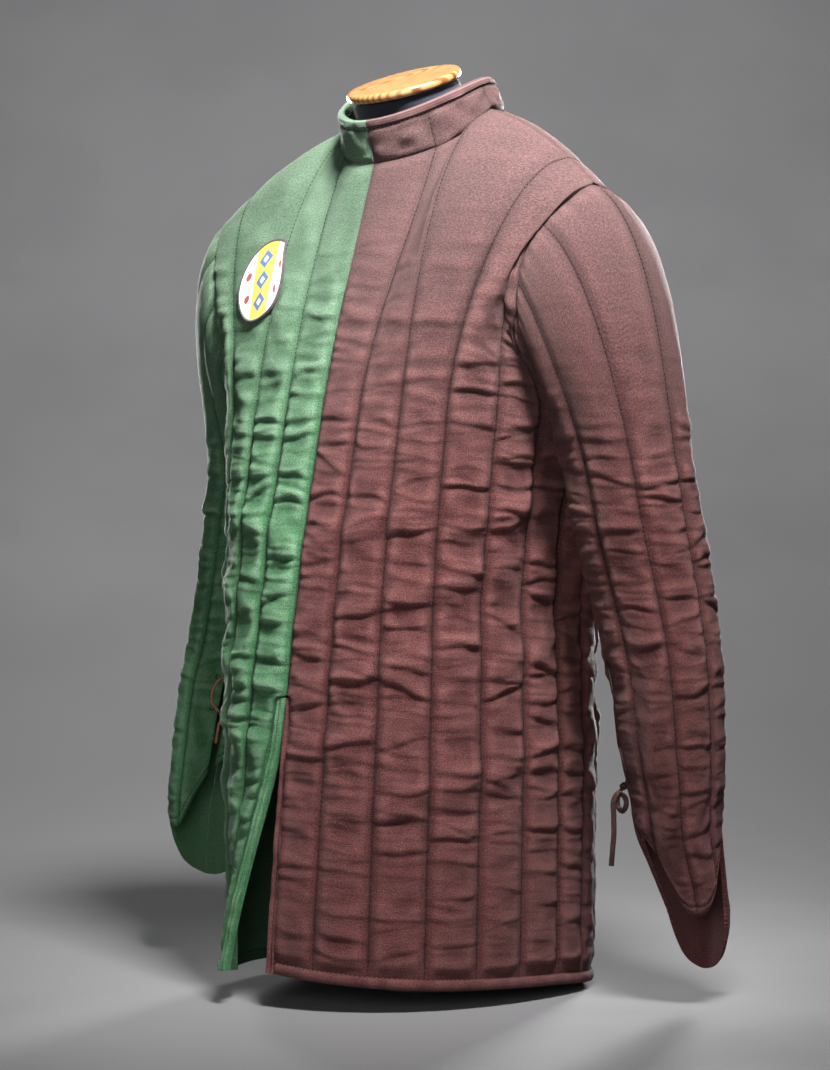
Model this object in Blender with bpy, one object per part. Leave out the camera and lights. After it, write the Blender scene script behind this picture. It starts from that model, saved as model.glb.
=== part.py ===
"""Quilted mi-parti gambeson worn by a limbless dress form that stands on a round foot.

Metres, +Z up, the wearer faces -Y and the wearer's left is +X. The right half is green
and the left half is brown. Every cloth piece is a quilted wall: its inside is plain and
its outside is raised between the lines of stitching.
"""
import math

import bmesh
import bpy
import numpy as np

for old in list(bpy.data.objects):
    bpy.data.objects.remove(old, do_unlink=True)

# ---------------------------------------------------------------- driving dimensions
GAP = 0.0003             # between neighbouring pieces
WALL = 0.003             # cloth and padding at a line of stitching
HEM_HEIGHTS = ((0, 0.033), (1.5, 0.026), (3, 0.020), (4.5, 0.016), (6, 0.012), (8, 0.005), (12, 0.005))
HEM_BAND = 0.0095        # height of the rolled hem
JOIN_Z = 0.56            # above this height the panels shape themselves to the shoulder
SLIT_TOP = 0.288         # top of the front slit
SLIT_BAND = 0.0098       # width of the rolled slit edge
CHANNELS = 6             # quilted channels from centre front to side seam
SHOULDER_C = 10 / 3      # channel count at which the shoulder seam meets the armhole
NECK_C = 2.0             # channel count at which the shoulder seam meets the collar
NECK_Y = 0.010           # centre of the neckline
NECK_RX, NECK_RY = 0.080, 0.078
NECK_FRONT_Z, NECK_SIDE_Z, NECK_BACK_Z = 0.810, 0.866, 0.873
NECK_SIDE_ANGLE = math.radians(95)
COLLAR_WALL = 0.0052
COLLAR_ROLL = 0.010      # height of the rolled top edge of the collar
PUFF_WAIST, PUFF_CHEST = 0.0062, 0.0034
SLEEVE_PUFF = 0.0045
SLEEVE_RING_Z = 0.50
FORM_CLEAR = 0.0008      # form to cloth where the cloth rests on it
FOOT_RADIUS, FOOT_HEIGHT = 0.098, 0.006
POLE_RADIUS, POLE_Y = 0.0125, 0.015

# horizontal sections of the skirt and waist
SECTION_NAMES = ("z", "width", "right_width", "front", "back", "n_left", "n_right", "n_back")
SECTIONS = (
    (0.000, 0.173, 0.160, 0.226, 0.150, 2.30, 1.75, 2.30),
    (0.150, 0.175, 0.166, 0.212, 0.150, 2.30, 1.95, 2.30),
    (0.290, 0.174, 0.172, 0.194, 0.150, 2.30, 2.20, 2.30),
    (0.380, 0.170, 0.170, 0.181, 0.158, 2.40, 2.40, 2.40),
    (0.460, 0.177, 0.177, 0.166, 0.163, 2.60, 2.60, 2.60),
    (0.520, 0.186, 0.186, 0.153, 0.170, 2.70, 2.70, 2.80),
    (0.560, 0.192, 0.192, 0.1445, 0.177, 2.80, 2.80, 2.90),
)

# armhole seam: top, down the front, under the arm, up the back, sixteen points
ARMHOLE = (
    (0.230, -0.012, 0.777), (0.222, -0.045, 0.760), (0.206, -0.066, 0.738),
    (0.198, -0.079, 0.712), (0.194, -0.086, 0.684), (0.193, -0.086, 0.655),
    (0.196, -0.074, 0.628), (0.201, -0.045, 0.609), (0.204, 0.000, 0.602),
    (0.205, 0.050, 0.603), (0.205, 0.098, 0.612), (0.204, 0.128, 0.637),
    (0.203, 0.136, 0.665), (0.205, 0.120, 0.695), (0.210, 0.097, 0.727),
    (0.220, 0.058, 0.757),
)
# way that the cloth faces at the armhole, on the body and on the sleeve
FACING_NAMES = ("point", "x", "y", "z")
BODY_FACING = (
    (0, 0.25, 0.00, 0.97), (2, 0.45, -0.75, 0.48), (4, 0.35, -0.93, 0.10),
    (6, 0.75, -0.65, -0.05), (8, 1.00, 0.00, 0.00), (10, 0.90, 0.40, -0.05),
    (12, 0.35, 0.93, 0.00), (14, 0.35, 0.75, 0.55), (16, 0.25, 0.00, 0.97),
)
SLEEVE_FACING = (
    (0, 0.40, 0.00, 0.91), (2, 0.20, -0.70, 0.68), (4, -0.10, -0.98, 0.15),
    (6, -0.50, -0.75, -0.42), (8, -0.70, 0.00, -0.71), (10, -0.62, 0.50, -0.60),
    (12, -0.25, 0.95, -0.15), (14, 0.15, 0.80, 0.58), (16, 0.40, 0.00, 0.91),
)

# direction in which the columns of a front or back reach its top edge
ARRIVAL_NAMES = ("channel", "x", "y", "z")
FRONT_ARRIVAL = (
    (0.0, 0.00, 0.30, 0.95), (1.0, -0.05, 0.42, 0.90), (2.0, -0.08, 0.93, 0.30),
    (2.67, 0.02, 0.96, 0.20), (3.33, 0.14, 0.97, 0.10), (4.0, 0.60, 0.45, 0.64),
    (4.67, 0.52, 0.24, 0.80), (5.33, 0.28, 0.10, 0.95), (6.0, 0.08, 0.00, 1.00),
)
BACK_ARRIVAL = (
    (6.0, 0.08, 0.00, 1.00), (6.67, 0.22, -0.04, 0.97), (7.33, 0.38, -0.22, 0.90),
    (8.0, 0.36, -0.50, 0.80), (8.67, 0.24, -0.97, -0.06), (9.33, 0.06, -0.98, -0.08),
    (10.0, 0.08, -0.97, -0.14), (11.0, 0.04, -0.55, 0.80), (12.0, 0.00, -0.40, 0.92),
)

# sleeve rings: height, centre, half sizes; the two arms hang a little differently
RING_NAMES = ("z", "x", "y", "half_x", "half_y")
LEFT_RINGS = (
    (0.030, 0.296, 0.062, 0.031, 0.038), (0.090, 0.295, 0.057, 0.031, 0.038),
    (0.170, 0.288, 0.041, 0.036, 0.044), (0.200, 0.287, 0.039, 0.039, 0.047),
    (0.245, 0.284, 0.036, 0.044, 0.053), (0.290, 0.282, 0.033, 0.046, 0.055),
    (0.345, 0.275, 0.030, 0.050, 0.058), (0.385, 0.268, 0.027, 0.052, 0.061),
    (0.460, 0.258, 0.016, 0.054, 0.066), (0.500, 0.253, 0.011, 0.055, 0.067),
)
RIGHT_RINGS = (
    (0.080, 0.290, -0.010, 0.031, 0.038), (0.150, 0.286, -0.008, 0.033, 0.041),
    (0.220, 0.279, 0.003, 0.041, 0.050), (0.290, 0.273, 0.016, 0.045, 0.055),
    (0.345, 0.268, 0.032, 0.049, 0.058), (0.385, 0.265, 0.040, 0.051, 0.061),
    (0.460, 0.257, 0.050, 0.053, 0.066), (0.500, 0.253, 0.053, 0.054, 0.067),
)
# lower edge of each sleeve piece, by armhole point (0 top, 4 front, 8 under, 12 back)
LEFT_OUTER_EDGE = ((-2, 0.170), (-1, 0.150), (0, 0.118), (1, 0.093), (2, 0.087),
                   (3, 0.095), (4, 0.143), (5, 0.160), (6, 0.172))
LEFT_INNER_EDGE = ((6, 0.172), (7, 0.128), (8, 0.082), (9, 0.046), (10, 0.031),
                   (11, 0.028), (12, 0.036), (13, 0.066), (14, 0.170))
RIGHT_OUTER_EDGE = ((-2, 0.083), (-1, 0.090), (0, 0.102), (1, 0.123), (2, 0.143),
                    (3, 0.140), (4, 0.141), (5, 0.168), (6, 0.202))
RIGHT_INNER_EDGE = ((6, 0.202), (7, 0.213), (8, 0.217), (9, 0.196), (10, 0.142),
                    (11, 0.103), (12, 0.087), (13, 0.082), (14, 0.083))
RIGHT_LACE_LIFT = 0.055
LACE_TOP, LACE_BOTTOM, LACE_OPENING = 0.345, 0.190, 0.009


def smooth(x, xs, ys):
    """Value at x of a soft curve through the points of a table column."""
    xs, ys = np.asarray(xs, float), np.asarray(ys, float)
    slopes = np.gradient(ys, xs)
    i = int(np.clip(np.searchsorted(xs, x) - 1, 0, len(xs) - 2))
    h = xs[i + 1] - xs[i]
    t = min(max((x - xs[i]) / h, 0.0), 1.0)
    a, b = 2 * t**3 - 3 * t**2 + 1, t**3 - 2 * t**2 + t
    c, d = -2 * t**3 + 3 * t**2, t**3 - t**2
    return a * ys[i] + b * h * slopes[i] + c * ys[i + 1] + d * h * slopes[i + 1]


def row_at(table, x):
    """All the columns of a table at x, which is read in its first column."""
    columns = list(zip(*table))
    return [smooth(x, columns[0], column) for column in columns[1:]]


def unit(v):
    return v / max(np.linalg.norm(v), 1e-12)


def blend(low, high, x):
    t = min(max((x - low) / (high - low), 0.0), 1.0)
    return t * t * (3 - 2 * t)


# quarter of a superellipse, measured along its length
QUARTERS = {}


def quarter(share, half_x, half_y, n):
    """Point a share of the way from the y axis to the x axis."""
    key = (round(half_x, 6), round(half_y, 6), round(n, 4))
    if key not in QUARTERS:
        angle = np.linspace(0, math.pi / 2, 240)
        xs = half_x * np.sin(angle) ** (2 / n)
        ys = half_y * np.cos(angle) ** (2 / n)
        run = np.concatenate([[0], np.cumsum(np.hypot(np.diff(xs), np.diff(ys)))])
        QUARTERS[key] = (run / run[-1], xs, ys)
    run, xs, ys = QUARTERS[key]
    return np.interp(share, run, xs), np.interp(share, run, ys)


def hem_z(c):
    return smooth(c, *zip(*HEM_HEIGHTS))


def skirt_point(side, c, z):
    """Point of the left (side 1) or right (side -1) half, c channels from centre front."""
    width, right_width, front, back, n_left, n_right, n_back = row_at(SECTIONS, z)
    width = width if side > 0 else right_width
    if c <= CHANNELS:
        n = n_left if side > 0 else n_right
        x, y = quarter(c / CHANNELS, width, front, n)
        y = -y
    else:
        x, y = quarter((2 * CHANNELS - c) / CHANNELS, width, back, n_back)
    # below the slit the right front swings out, and the left front stays closed
    swing = blend(0, 1, (SLIT_TOP - z) / SLIT_TOP) * blend(0, 1, 1 - c / 1.5)
    if side < 0:
        x, y = x + 0.035 * swing, y - 0.018 * swing
    return np.array([side * x, y, z])


def neckline(c):
    """Point of the neckline, from centre front (0) to centre back (12)."""
    if c <= NECK_C:
        turn = c / NECK_C
        angle = turn * NECK_SIDE_ANGLE
        z = NECK_FRONT_Z + (NECK_SIDE_Z - NECK_FRONT_Z) * turn**2
    else:
        turn = (2 * CHANNELS - c) / NECK_C
        angle = math.pi - turn * (math.pi - NECK_SIDE_ANGLE)
        z = NECK_BACK_Z + (NECK_SIDE_Z - NECK_BACK_Z) * turn**2
    return angle, np.array(
        [NECK_RX * math.sin(angle), NECK_Y - NECK_RY * math.cos(angle), z]
    )


def top_point(c):
    """Point of the top edge: neckline, shoulder seam or armhole."""
    back_c = 2 * CHANNELS - c
    if min(c, back_c) <= NECK_C:
        return neckline(c)[1]
    if min(c, back_c) <= SHOULDER_C + 1e-6:
        share = (min(c, back_c) - NECK_C) / (SHOULDER_C - NECK_C)
        start, end = neckline(NECK_C)[1], np.array(ARMHOLE[0])
        middle = (start + end) / 2 + np.array([0.002, -0.001, 0.010])
        return (1 - share) ** 2 * start + 2 * share * (1 - share) * (
            2 * middle - (start + end) / 2
        ) + share**2 * end
    place = (c - SHOULDER_C) * 3
    low = int(math.floor(place + 1e-6))
    a, b = np.array(ARMHOLE[low % 16]), np.array(ARMHOLE[(low + 1) % 16])
    return a + (b - a) * (place - low)


def body_point(side, c, v):
    """v runs 0 to 1 from hem to join, and 1 to 2 from there to the top edge."""
    if v <= 1:
        return skirt_point(side, c, hem_z(c) + (JOIN_Z - hem_z(c)) * v)
    flip = np.array([side, 1, 1])
    start = skirt_point(1, c, JOIN_Z)
    leave = unit(start - skirt_point(1, c, JOIN_Z - 0.02))
    end = top_point(c)
    arrive = unit(np.array(row_at(FRONT_ARRIVAL if c <= CHANNELS else BACK_ARRIVAL, c)))
    reach = np.linalg.norm(end - start)
    t = v - 1
    point = (
        (2 * t**3 - 3 * t**2 + 1) * start
        + (t**3 - 2 * t**2 + t) * leave * reach
        + (-2 * t**3 + 3 * t**2) * end
        + (t**3 - t**2) * arrive * reach * (0.9 if c <= CHANNELS else 0.65)
    )
    # loose cloth that stands out behind the armhole
    loose = 0.034 * math.exp(-(((c - 8.0) / 0.9) ** 2)) * math.sin(math.pi * t) ** 1.3
    point = point + loose * np.array([0.05, 1.0, 0.0])
    return point * flip


def grid_normals(points, closed=False):
    """Outward unit normals of a grid [column, row, xyz], from the faces round each point."""
    faces = np.cross(
        points[1:, 1:] - points[:-1, :-1], points[:-1, 1:] - points[1:, :-1]
    )
    normals = np.zeros_like(points)
    for i in (0, 1):
        for j in (0, 1):
            normals[i : i + faces.shape[0], j : j + faces.shape[1]] += faces
    if closed:
        normals[0] = normals[-1] = normals[0] + normals[-1]
    return normals / np.maximum(np.linalg.norm(normals, axis=2, keepdims=True), 1e-12)


def facing(table, k):
    columns = list(zip(*table))
    return unit(np.array([np.interp(k % 16, columns[0], column) for column in columns[1:]]))


def material(name, colour, roughness, metallic=0.0):
    made = bpy.data.materials.new(name)
    made.use_nodes = True
    shader = made.node_tree.nodes["Principled BSDF"]
    shader.inputs["Base Color"].default_value = (*colour, 1.0)
    shader.inputs["Roughness"].default_value = roughness
    shader.inputs["Metallic"].default_value = metallic
    made.diffuse_color = (*colour, 1.0)
    return made


def mesh_object(name, points, faces, slot):
    mesh = bpy.data.meshes.new(name)
    mesh.from_pydata([tuple(map(float, p)) for p in points], [], faces)
    work = bmesh.new()
    work.from_mesh(mesh)
    bmesh.ops.recalc_face_normals(work, faces=work.faces)
    if work.calc_volume(signed=True) < 0:
        bmesh.ops.reverse_faces(work, faces=work.faces)
    work.to_mesh(mesh)
    work.free()
    made = bpy.data.objects.new(name, mesh)
    made.data.materials.append(slot)
    bpy.context.scene.collection.objects.link(made)
    return made


def shell(name, outer, inner, slot):
    """Closed wall between two grids of the same size."""
    columns, rows = outer.shape[:2]
    points = np.concatenate([outer.reshape(-1, 3), inner.reshape(-1, 3)])
    size = columns * rows

    def at(layer, i, j):
        return layer * size + i * rows + j

    faces = []
    for i in range(columns - 1):
        for j in range(rows - 1):
            faces.append((at(0, i, j), at(0, i + 1, j), at(0, i + 1, j + 1), at(0, i, j + 1)))
            faces.append((at(1, i, j), at(1, i, j + 1), at(1, i + 1, j + 1), at(1, i + 1, j)))
    for i in range(columns - 1):
        for j in (0, rows - 1):
            faces.append((at(0, i, j), at(1, i, j), at(1, i + 1, j), at(0, i + 1, j)))
    for j in range(rows - 1):
        for i in (0, columns - 1):
            faces.append((at(0, i, j), at(0, i, j + 1), at(1, i, j + 1), at(1, i, j)))
    return mesh_object(name, points, faces, slot)


def pulled_in(points, edge, distance):
    """The grid with one edge drawn back along its surface."""
    points = points.copy()
    view = {"first": points, "last": points[::-1]}
    if edge in view:
        grid = view[edge]
    else:
        grid = np.swapaxes(points, 0, 1)
        grid = grid if edge == "bottom" else grid[::-1]
    step = grid[1] - grid[0]
    length = np.maximum(np.linalg.norm(step, axis=1, keepdims=True), 1e-9)
    if np.ndim(distance):
        distance = np.asarray(distance)[:, None]
    grid[0] += step / length * distance
    return points


GREEN = material("green_linen", (0.075, 0.190, 0.085), 0.92)
BROWN = material("brown_linen", (0.170, 0.070, 0.062), 0.92)
NAVY = material("navy_jersey", (0.012, 0.014, 0.026), 0.90)
PINE = material("pine", (0.640, 0.330, 0.130), 0.38)
THONG = material("thong_leather", (0.050, 0.020, 0.014), 0.62)
THONG_RED = material("thong_leather_red", (0.170, 0.040, 0.022), 0.60)
PATCH = material("patch_cloth", (0.820, 0.800, 0.740), 0.85)
STEEL = material("painted_steel", (0.030, 0.030, 0.032), 0.45)

# ------------------------------------------------------------- front and back panels
# Each half is one grid of columns along the stitching, three to a channel. The front
# takes the columns from centre front to side seam, and the back takes the rest.
C_STEPS = np.arange(0, 2 * CHANNELS + 1e-6, 1 / 3)
LOW_ROWS = np.linspace(0, 1, 14)
LOW_ROWS[0] = (HEM_BAND + 2 * GAP) / (JOIN_Z - hem_z(0))
SLIT_V = (SLIT_TOP - hem_z(0)) / (JOIN_Z - hem_z(0))
LOW_ROWS[np.argmin(abs(LOW_ROWS - SLIT_V))] = SLIT_V
LOW_ROWS = np.sort(np.append(LOW_ROWS, SLIT_V + 0.006))
V_STEPS = np.concatenate([LOW_ROWS, 1 + np.array([0.17, 0.34, 0.51, 0.68, 0.84, 1.0])])


def puff_height(c, v):
    """How far the padding stands out between two lines of stitching."""
    third = abs(c - round(c)) > 0.2
    rise = PUFF_WAIST + (PUFF_CHEST - PUFF_WAIST) * blend(0.95, 1.5, v)
    return rise * third * (v < 1.99)


# the broad drag folds of waist and skirt: channel, height, half span, rise
FOLDS = (
    (1.5, 0.455, 1.3, 0.0040), (3.2, 0.400, 1.5, 0.0045), (4.6, 0.470, 1.2, 0.0045),
    (2.4, 0.325, 1.6, 0.0040), (4.9, 0.330, 1.2, 0.0040), (3.6, 0.215, 1.8, 0.0045),
    (1.2, 0.250, 1.2, 0.0035), (7.5, 0.420, 1.5, 0.0040), (9.8, 0.370, 1.6, 0.0040),
    (8.6, 0.260, 1.6, 0.0040),
)


def fold_rise(c, v):
    z = JOIN_Z * v
    return sum(
        rise * math.exp(-(((c - at) / span) ** 2) - ((z - height - 0.012 * (c - at)) / 0.017) ** 2)
        for at, height, span, rise in FOLDS
    )


def half_grids(side):
    points = np.array([[body_point(side, c, v) for v in V_STEPS] for c in C_STEPS])
    normals = grid_normals(points) * side
    normals *= np.sign((normals[0, 0] * [0, -1, 0]).sum())
    tip = int(round(SHOULDER_C * 3))
    for i in range(tip + 1, len(C_STEPS) - 1 - tip):
        normals[i, -1] = facing(BODY_FACING, i - tip) * [side, 1, 1]
    # centre front, centre back and shoulder seam: the two sides share one normal
    for edge in (0, -1):
        normals[edge, :, 0] = 0
    neck = int(round(NECK_C * 3))
    for i in range(neck, tip + 1):
        both = normals[i, -1] + normals[len(C_STEPS) - 1 - i, -1]
        normals[i, -1] = normals[len(C_STEPS) - 1 - i, -1] = both
    normals /= np.linalg.norm(normals, axis=2, keepdims=True)
    rise = np.array([[fold_rise(c, v) for v in V_STEPS] for c in C_STEPS])
    return points + normals * rise[:, :, None], normals


BODY = {}
SIDE_I = CHANNELS * 3
for side, half, slot in ((-1, "right", GREEN), (1, "left", BROWN)):
    base, normals = half_grids(side)
    BODY[side] = (base, normals)
    puff = np.array([[puff_height(c, v) for v in V_STEPS] for c in C_STEPS])
    for name, columns in (("front", slice(0, SIDE_I + 1)), ("back", slice(SIDE_I, None))):
        drawn = base[columns]
        pull = {edge: GAP / 2 for edge in ("first", "last", "top")}
        if name == "front":
            # beside the slit the panel stops short, to leave room for the rolled edge
            pull["first"] = np.where(V_STEPS < SLIT_V + 0.003, SLIT_BAND + GAP * 2, GAP / 2)
        for edge, distance in pull.items():
            drawn = pulled_in(drawn, edge, distance)
        outer = drawn + (normals * puff[:, :, None])[columns]
        shell(f"{name}_{half}", outer, drawn - (normals * WALL)[columns], slot)

# ------------------------------------------------------- rolled hems and slit edges
# The cloth is turned over and stitched down, so it makes a thicker bead at the edge.
BEAD = ((-0.0034, 0.0), (-0.0034, 1.0), (0.0010, 1.0), (0.0036, 0.72), (0.0036, 0.26), (0.0012, 0.0))


def bead(name, path, normals, along, slot):
    """Solid bead: its section lies in the plane of normal and along at each point."""
    count = len(BEAD)
    points = []
    faces = []
    for p, n, a in zip(path, normals, along):
        points += [p + n * out + a * up for out, up in BEAD]
    for i in range(len(path) - 1):
        for j in range(count):
            k = (j + 1) % count
            faces.append((i * count + j, i * count + k, (i + 1) * count + k, (i + 1) * count + j))
    faces.append(tuple(range(count)))
    faces.append(tuple((len(path) - 1) * count + j for j in reversed(range(count))))
    return mesh_object(name, points, faces, slot)


for side, half, slot in ((-1, "right", GREEN), (1, "left", BROWN)):
    normals = BODY[side][1]
    path = np.array([body_point(side, c, 0.0) for c in C_STEPS])
    path = pulled_in(path[:, None, :], "first", SLIT_BAND + GAP * 4)[:, 0]
    path = pulled_in(path[:, None, :], "last", GAP / 2)[:, 0]
    level = normals[:, 0] * np.array([1, 1, 0])
    level /= np.linalg.norm(level, axis=1, keepdims=True)
    rise = np.tile([0, 0, HEM_BAND - GAP], (len(path), 1))
    bead(f"hem_{half}", path, level, rise, slot)

    rows = [0.0] + [v for v in V_STEPS if 0.03 < v < SLIT_V - 0.01] + [SLIT_V - 0.003]
    edge = np.array([body_point(side, 0, v) for v in rows])
    inward = np.array([unit(body_point(side, 0.3, v) - body_point(side, 0, v)) for v in rows])
    across = np.cross(inward, [0, 0, side])
    across /= np.linalg.norm(across, axis=1, keepdims=True)
    across *= np.where(across[:, 1:2] > 0, -1, 1)
    start = edge + inward * GAP
    bead(f"slit_band_{half}", start, across, inward * SLIT_BAND, slot)

# -------------------------------------------------------------------------- collar
# Two halves stand on the neckline and lean forward; the top edge is rolled over.
COLLAR_C = [c for c in C_STEPS if c <= NECK_C + 1e-6 or c >= 2 * CHANNELS - NECK_C - 1e-6]
COLLAR_ROWS = (0.0, 0.25, 0.52, 0.76, 0.80, 0.90, 1.0)


def collar_point(c, up):
    angle, low = neckline(c)
    lift = (1 - math.cos(min(1.4 * angle, math.pi))) / 2
    high = np.array(
        [
            0.0745 * math.sin(angle),
            -0.005 - 0.0735 * math.cos(angle),
            0.852 + 0.049 * lift,
        ]
    )
    start = low + np.array([0, 0, 2 * GAP])
    middle = (start + high) / 2 + 0.0015 * np.array([math.sin(angle), -math.cos(angle), 0])
    return (1 - up) ** 2 * start + 2 * up * (1 - up) * middle + up**2 * high


for side, half, slot in ((-1, "right", GREEN), (1, "left", BROWN)):
    outer, inner = [], []
    for index, c in enumerate(COLLAR_C):
        if index and abs(c - COLLAR_C[index - 1]) > 1:
            continue
        angle = neckline(c)[0]
        out = np.array([math.sin(angle), -math.cos(angle), 0])
        column_out, column_in = [], []
        for up in COLLAR_ROWS:
            p = collar_point(c, up)
            third = abs(c - round(c)) > 0.2
            swell = 0.0016 * third * (0.1 < up < 0.78) + 0.0022 * (up > 0.78)
            top = up > 0.99
            column_out.append(p + out * (0.0004 if top else swell))
            column_in.append(p - out * (COLLAR_WALL - (0.0014 if top else 0.0)))
        outer.append(column_out)
        inner.append(column_in)
    outer = np.array(outer) * np.array([side, 1, 1])
    inner = np.array(inner) * np.array([side, 1, 1])
    for edge in ("first", "last"):
        outer = pulled_in(outer, edge, GAP / 2)
        inner = pulled_in(inner, edge, GAP / 2)
    shell(f"collar_{half}", outer, inner, slot)

# -------------------------------------------------------------------------- sleeves
# A sleeve is an outer and an inner piece. They are sewn behind the arm and, in front,
# down to the elbow; below it they are laced. Each ends in a tongue over the hand.
LEAVE_NAMES = ("point", "x", "y", "z")
LEAVE = (
    (0, 0.85, 0.00, -0.53), (2, 0.85, -0.15, -0.50), (4, 0.62, -0.25, -0.74),
    (6, 0.52, -0.10, -0.85), (8, 0.55, 0.00, -0.84), (10, 0.45, 0.00, -0.89),
    (12, 0.32, 0.00, -0.95), (14, 0.50, 0.05, -0.86), (16, 0.85, 0.00, -0.53),
)
HEAD_STEPS = (0.0, 0.14, 0.30, 0.48, 0.66, 0.84, 1.0)
ARM_STEPS = np.linspace(0, 1, 12)[1:]


def ring_point(rings, k, z):
    x, y, half_x, half_y = row_at(rings, z)
    angle = -2 * math.pi * k / 16
    return np.array([x + half_x * math.cos(angle), y + half_y * math.sin(angle), z])


def sleeve_column(rings, k, end_z, steps_head, steps_arm):
    leave = facing(LEAVE, k)
    start = np.array(ARMHOLE[int(round(k)) % 16]) + leave * 3 * GAP
    end = ring_point(rings, k, SLEEVE_RING_Z)
    arrive = unit(end - ring_point(rings, k, SLEEVE_RING_Z + 0.001 - 0.03)) * -1
    reach = np.linalg.norm(end - start)
    column = []
    for t in steps_head:
        column.append(
            (2 * t**3 - 3 * t**2 + 1) * start
            + (t**3 - 2 * t**2 + t) * leave * reach * 0.85
            + (-2 * t**3 + 3 * t**2) * end
            + (t**3 - t**2) * arrive * reach * 0.85
        )
    for t in steps_arm:
        column.append(ring_point(rings, k, SLEEVE_RING_Z + (end_z - SLEEVE_RING_Z) * t))
    return column


def opening_at(z, lift):
    """Half the width of the laced opening."""
    return LACE_OPENING / 2 * blend(LACE_TOP + lift, LACE_TOP + lift - 0.05, z)


SLEEVE = {}
for side, half, slot, rings, lift, outer_edge, inner_edge in (
    (-1, "right", GREEN, RIGHT_RINGS, RIGHT_LACE_LIFT, RIGHT_OUTER_EDGE, RIGHT_INNER_EDGE),
    (1, "left", BROWN, LEFT_RINGS, 0.0, LEFT_OUTER_EDGE, LEFT_INNER_EDGE),
):
    mirror = np.array([side, 1, 1])
    heads = np.array([sleeve_column(rings, k, 0.3, HEAD_STEPS, ()) for k in range(17)])
    head_normals = grid_normals(heads, closed=True)
    head_normals *= np.sign(head_normals[4, 3] @ np.array([0, -1, 0]))
    for k in range(17):
        head_normals[k, 0] = facing(SLEEVE_FACING, k)
    for piece, columns, table in (
        ("outer", range(-2, 7), outer_edge), ("inner", range(6, 15), inner_edge),
    ):
        ends = [float(np.interp(k, *zip(*table))) for k in columns]
        grid = np.array(
            [sleeve_column(rings, k, end, HEAD_STEPS, ARM_STEPS) for k, end in zip(columns, ends)]
        )
        normals = np.zeros_like(grid)
        for i, k in enumerate(columns):
            angle = -2 * math.pi * k / 16
            level = unit(np.array([math.cos(angle) / 0.8, math.sin(angle), 0.0]))
            normals[i] = level
            share = np.linspace(0, 1, len(HEAD_STEPS))[:, None] ** 3
            mixed = head_normals[k % 16] * (1 - share) + level * share
            normals[i, : len(HEAD_STEPS)] = mixed / np.linalg.norm(mixed, axis=1, keepdims=True)
        puff = np.array(
            [[SLEEVE_PUFF * (k % 2) * (j > 0) for j in range(grid.shape[1])]
             for k in columns]
        )
        for i, k in enumerate(columns):
            if k in (7, 9):
                puff[i, : len(HEAD_STEPS)] = 0.0
        front, behind = ("last", "first") if piece == "outer" else ("first", "last")
        open_row = grid[-1 if piece == "outer" else 0]
        apart = np.array([GAP / 2 + opening_at(p[2], lift) for p in open_row])
        grid = pulled_in(grid, front, apart)
        grid = pulled_in(grid, behind, GAP / 2)
        SLEEVE[side, piece] = (grid, normals)
        outer = (grid + normals * puff[:, :, None]) * mirror
        shell(f"sleeve_{half}_{piece}", outer, (grid - normals * WALL) * mirror, slot)

# ---------------------------------------------------------------------------- patch
# A cloth badge sewn on the right breast. It bridges the padding, so its points are
# those of the panel, moved out past the highest of it.
PATCH_C, PATCH_V = 2.28, 1.385
PATCH_HALF_WIDTH, PATCH_HALF_HEIGHT = 0.037, 0.043
PATCH_LIFT, PATCH_WALL = 0.0009, 0.0012


def breast_point(a, b):
    """Point of the right front, a to the wearer's right and b up from the badge's centre."""
    centre = body_point(-1, PATCH_C, PATCH_V)
    wide = np.linalg.norm(body_point(-1, PATCH_C + 0.1, PATCH_V) - centre) / 0.1
    high = np.linalg.norm(body_point(-1, PATCH_C, PATCH_V + 0.05) - centre) / 0.05
    return body_point(-1, PATCH_C + a / wide, PATCH_V + b / high)


def badge_layer(lift):
    rings = []
    for share in (0.0, 0.5, 1.0):
        for step in range(24 if share else 1):
            angle = 2 * math.pi * step / 24
            a = PATCH_HALF_WIDTH * share * math.cos(angle)
            b = PATCH_HALF_HEIGHT * share * math.sin(angle)
            p = breast_point(a, b)
            n = np.cross(breast_point(a, b + 0.004) - p, breast_point(a + 0.004, b) - p)
            n = unit(n) * (1 if n[1] < 0 else -1)
            rings.append(p + n * lift)
    return rings


under = badge_layer(PUFF_CHEST + PATCH_LIFT)
over = badge_layer(PUFF_CHEST + PATCH_LIFT + PATCH_WALL)
faces = []
for k in range(24):
    after = (k + 1) % 24
    for start in (0, 49):
        faces.append((start, start + 1 + k, start + 1 + after))
        faces.append((start + 1 + k, start + 25 + k, start + 25 + after, start + 1 + after))
    faces.append((25 + k, 74 + k, 74 + after, 25 + after))
mesh_object("patch", under + over, faces, PATCH)

# ---------------------------------------------------------------------------- laces
# A leather thong crosses the forearm opening and ends in a bow with one free tail.
LACE_RADIUS = 0.0015
LACE_LIFT_LEFT, LACE_LIFT_RIGHT = 0.0026, 0.0022


def lace_points(rings, side, lift, heights, tail):
    """Centre line: to and fro over the opening, then the bow's loop and the tail."""

    def on_cuff(across, out, z):
        p = ring_point(rings, 6, z)
        out_way = unit(np.array([math.cos(-2.356) / 0.8, math.sin(-2.356), 0]))
        return p + out_way * out + np.array([out_way[1], -out_way[0], 0]) * across

    near = 0.0105
    points = [on_cuff(near, lift, heights[0])]
    way = 1
    for high, low in zip(heights, heights[1:]):
        points.append(on_cuff(-near * way, lift, high - 0.007))
        points.append(on_cuff(-near * way, lift, low))
        way = -way
    z = heights[-1] - 0.008
    for across, out, down in tail:
        points.append(on_cuff(across, out, z - down))
    return [p * np.array([side, 1, 1]) for p in points]


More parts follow.
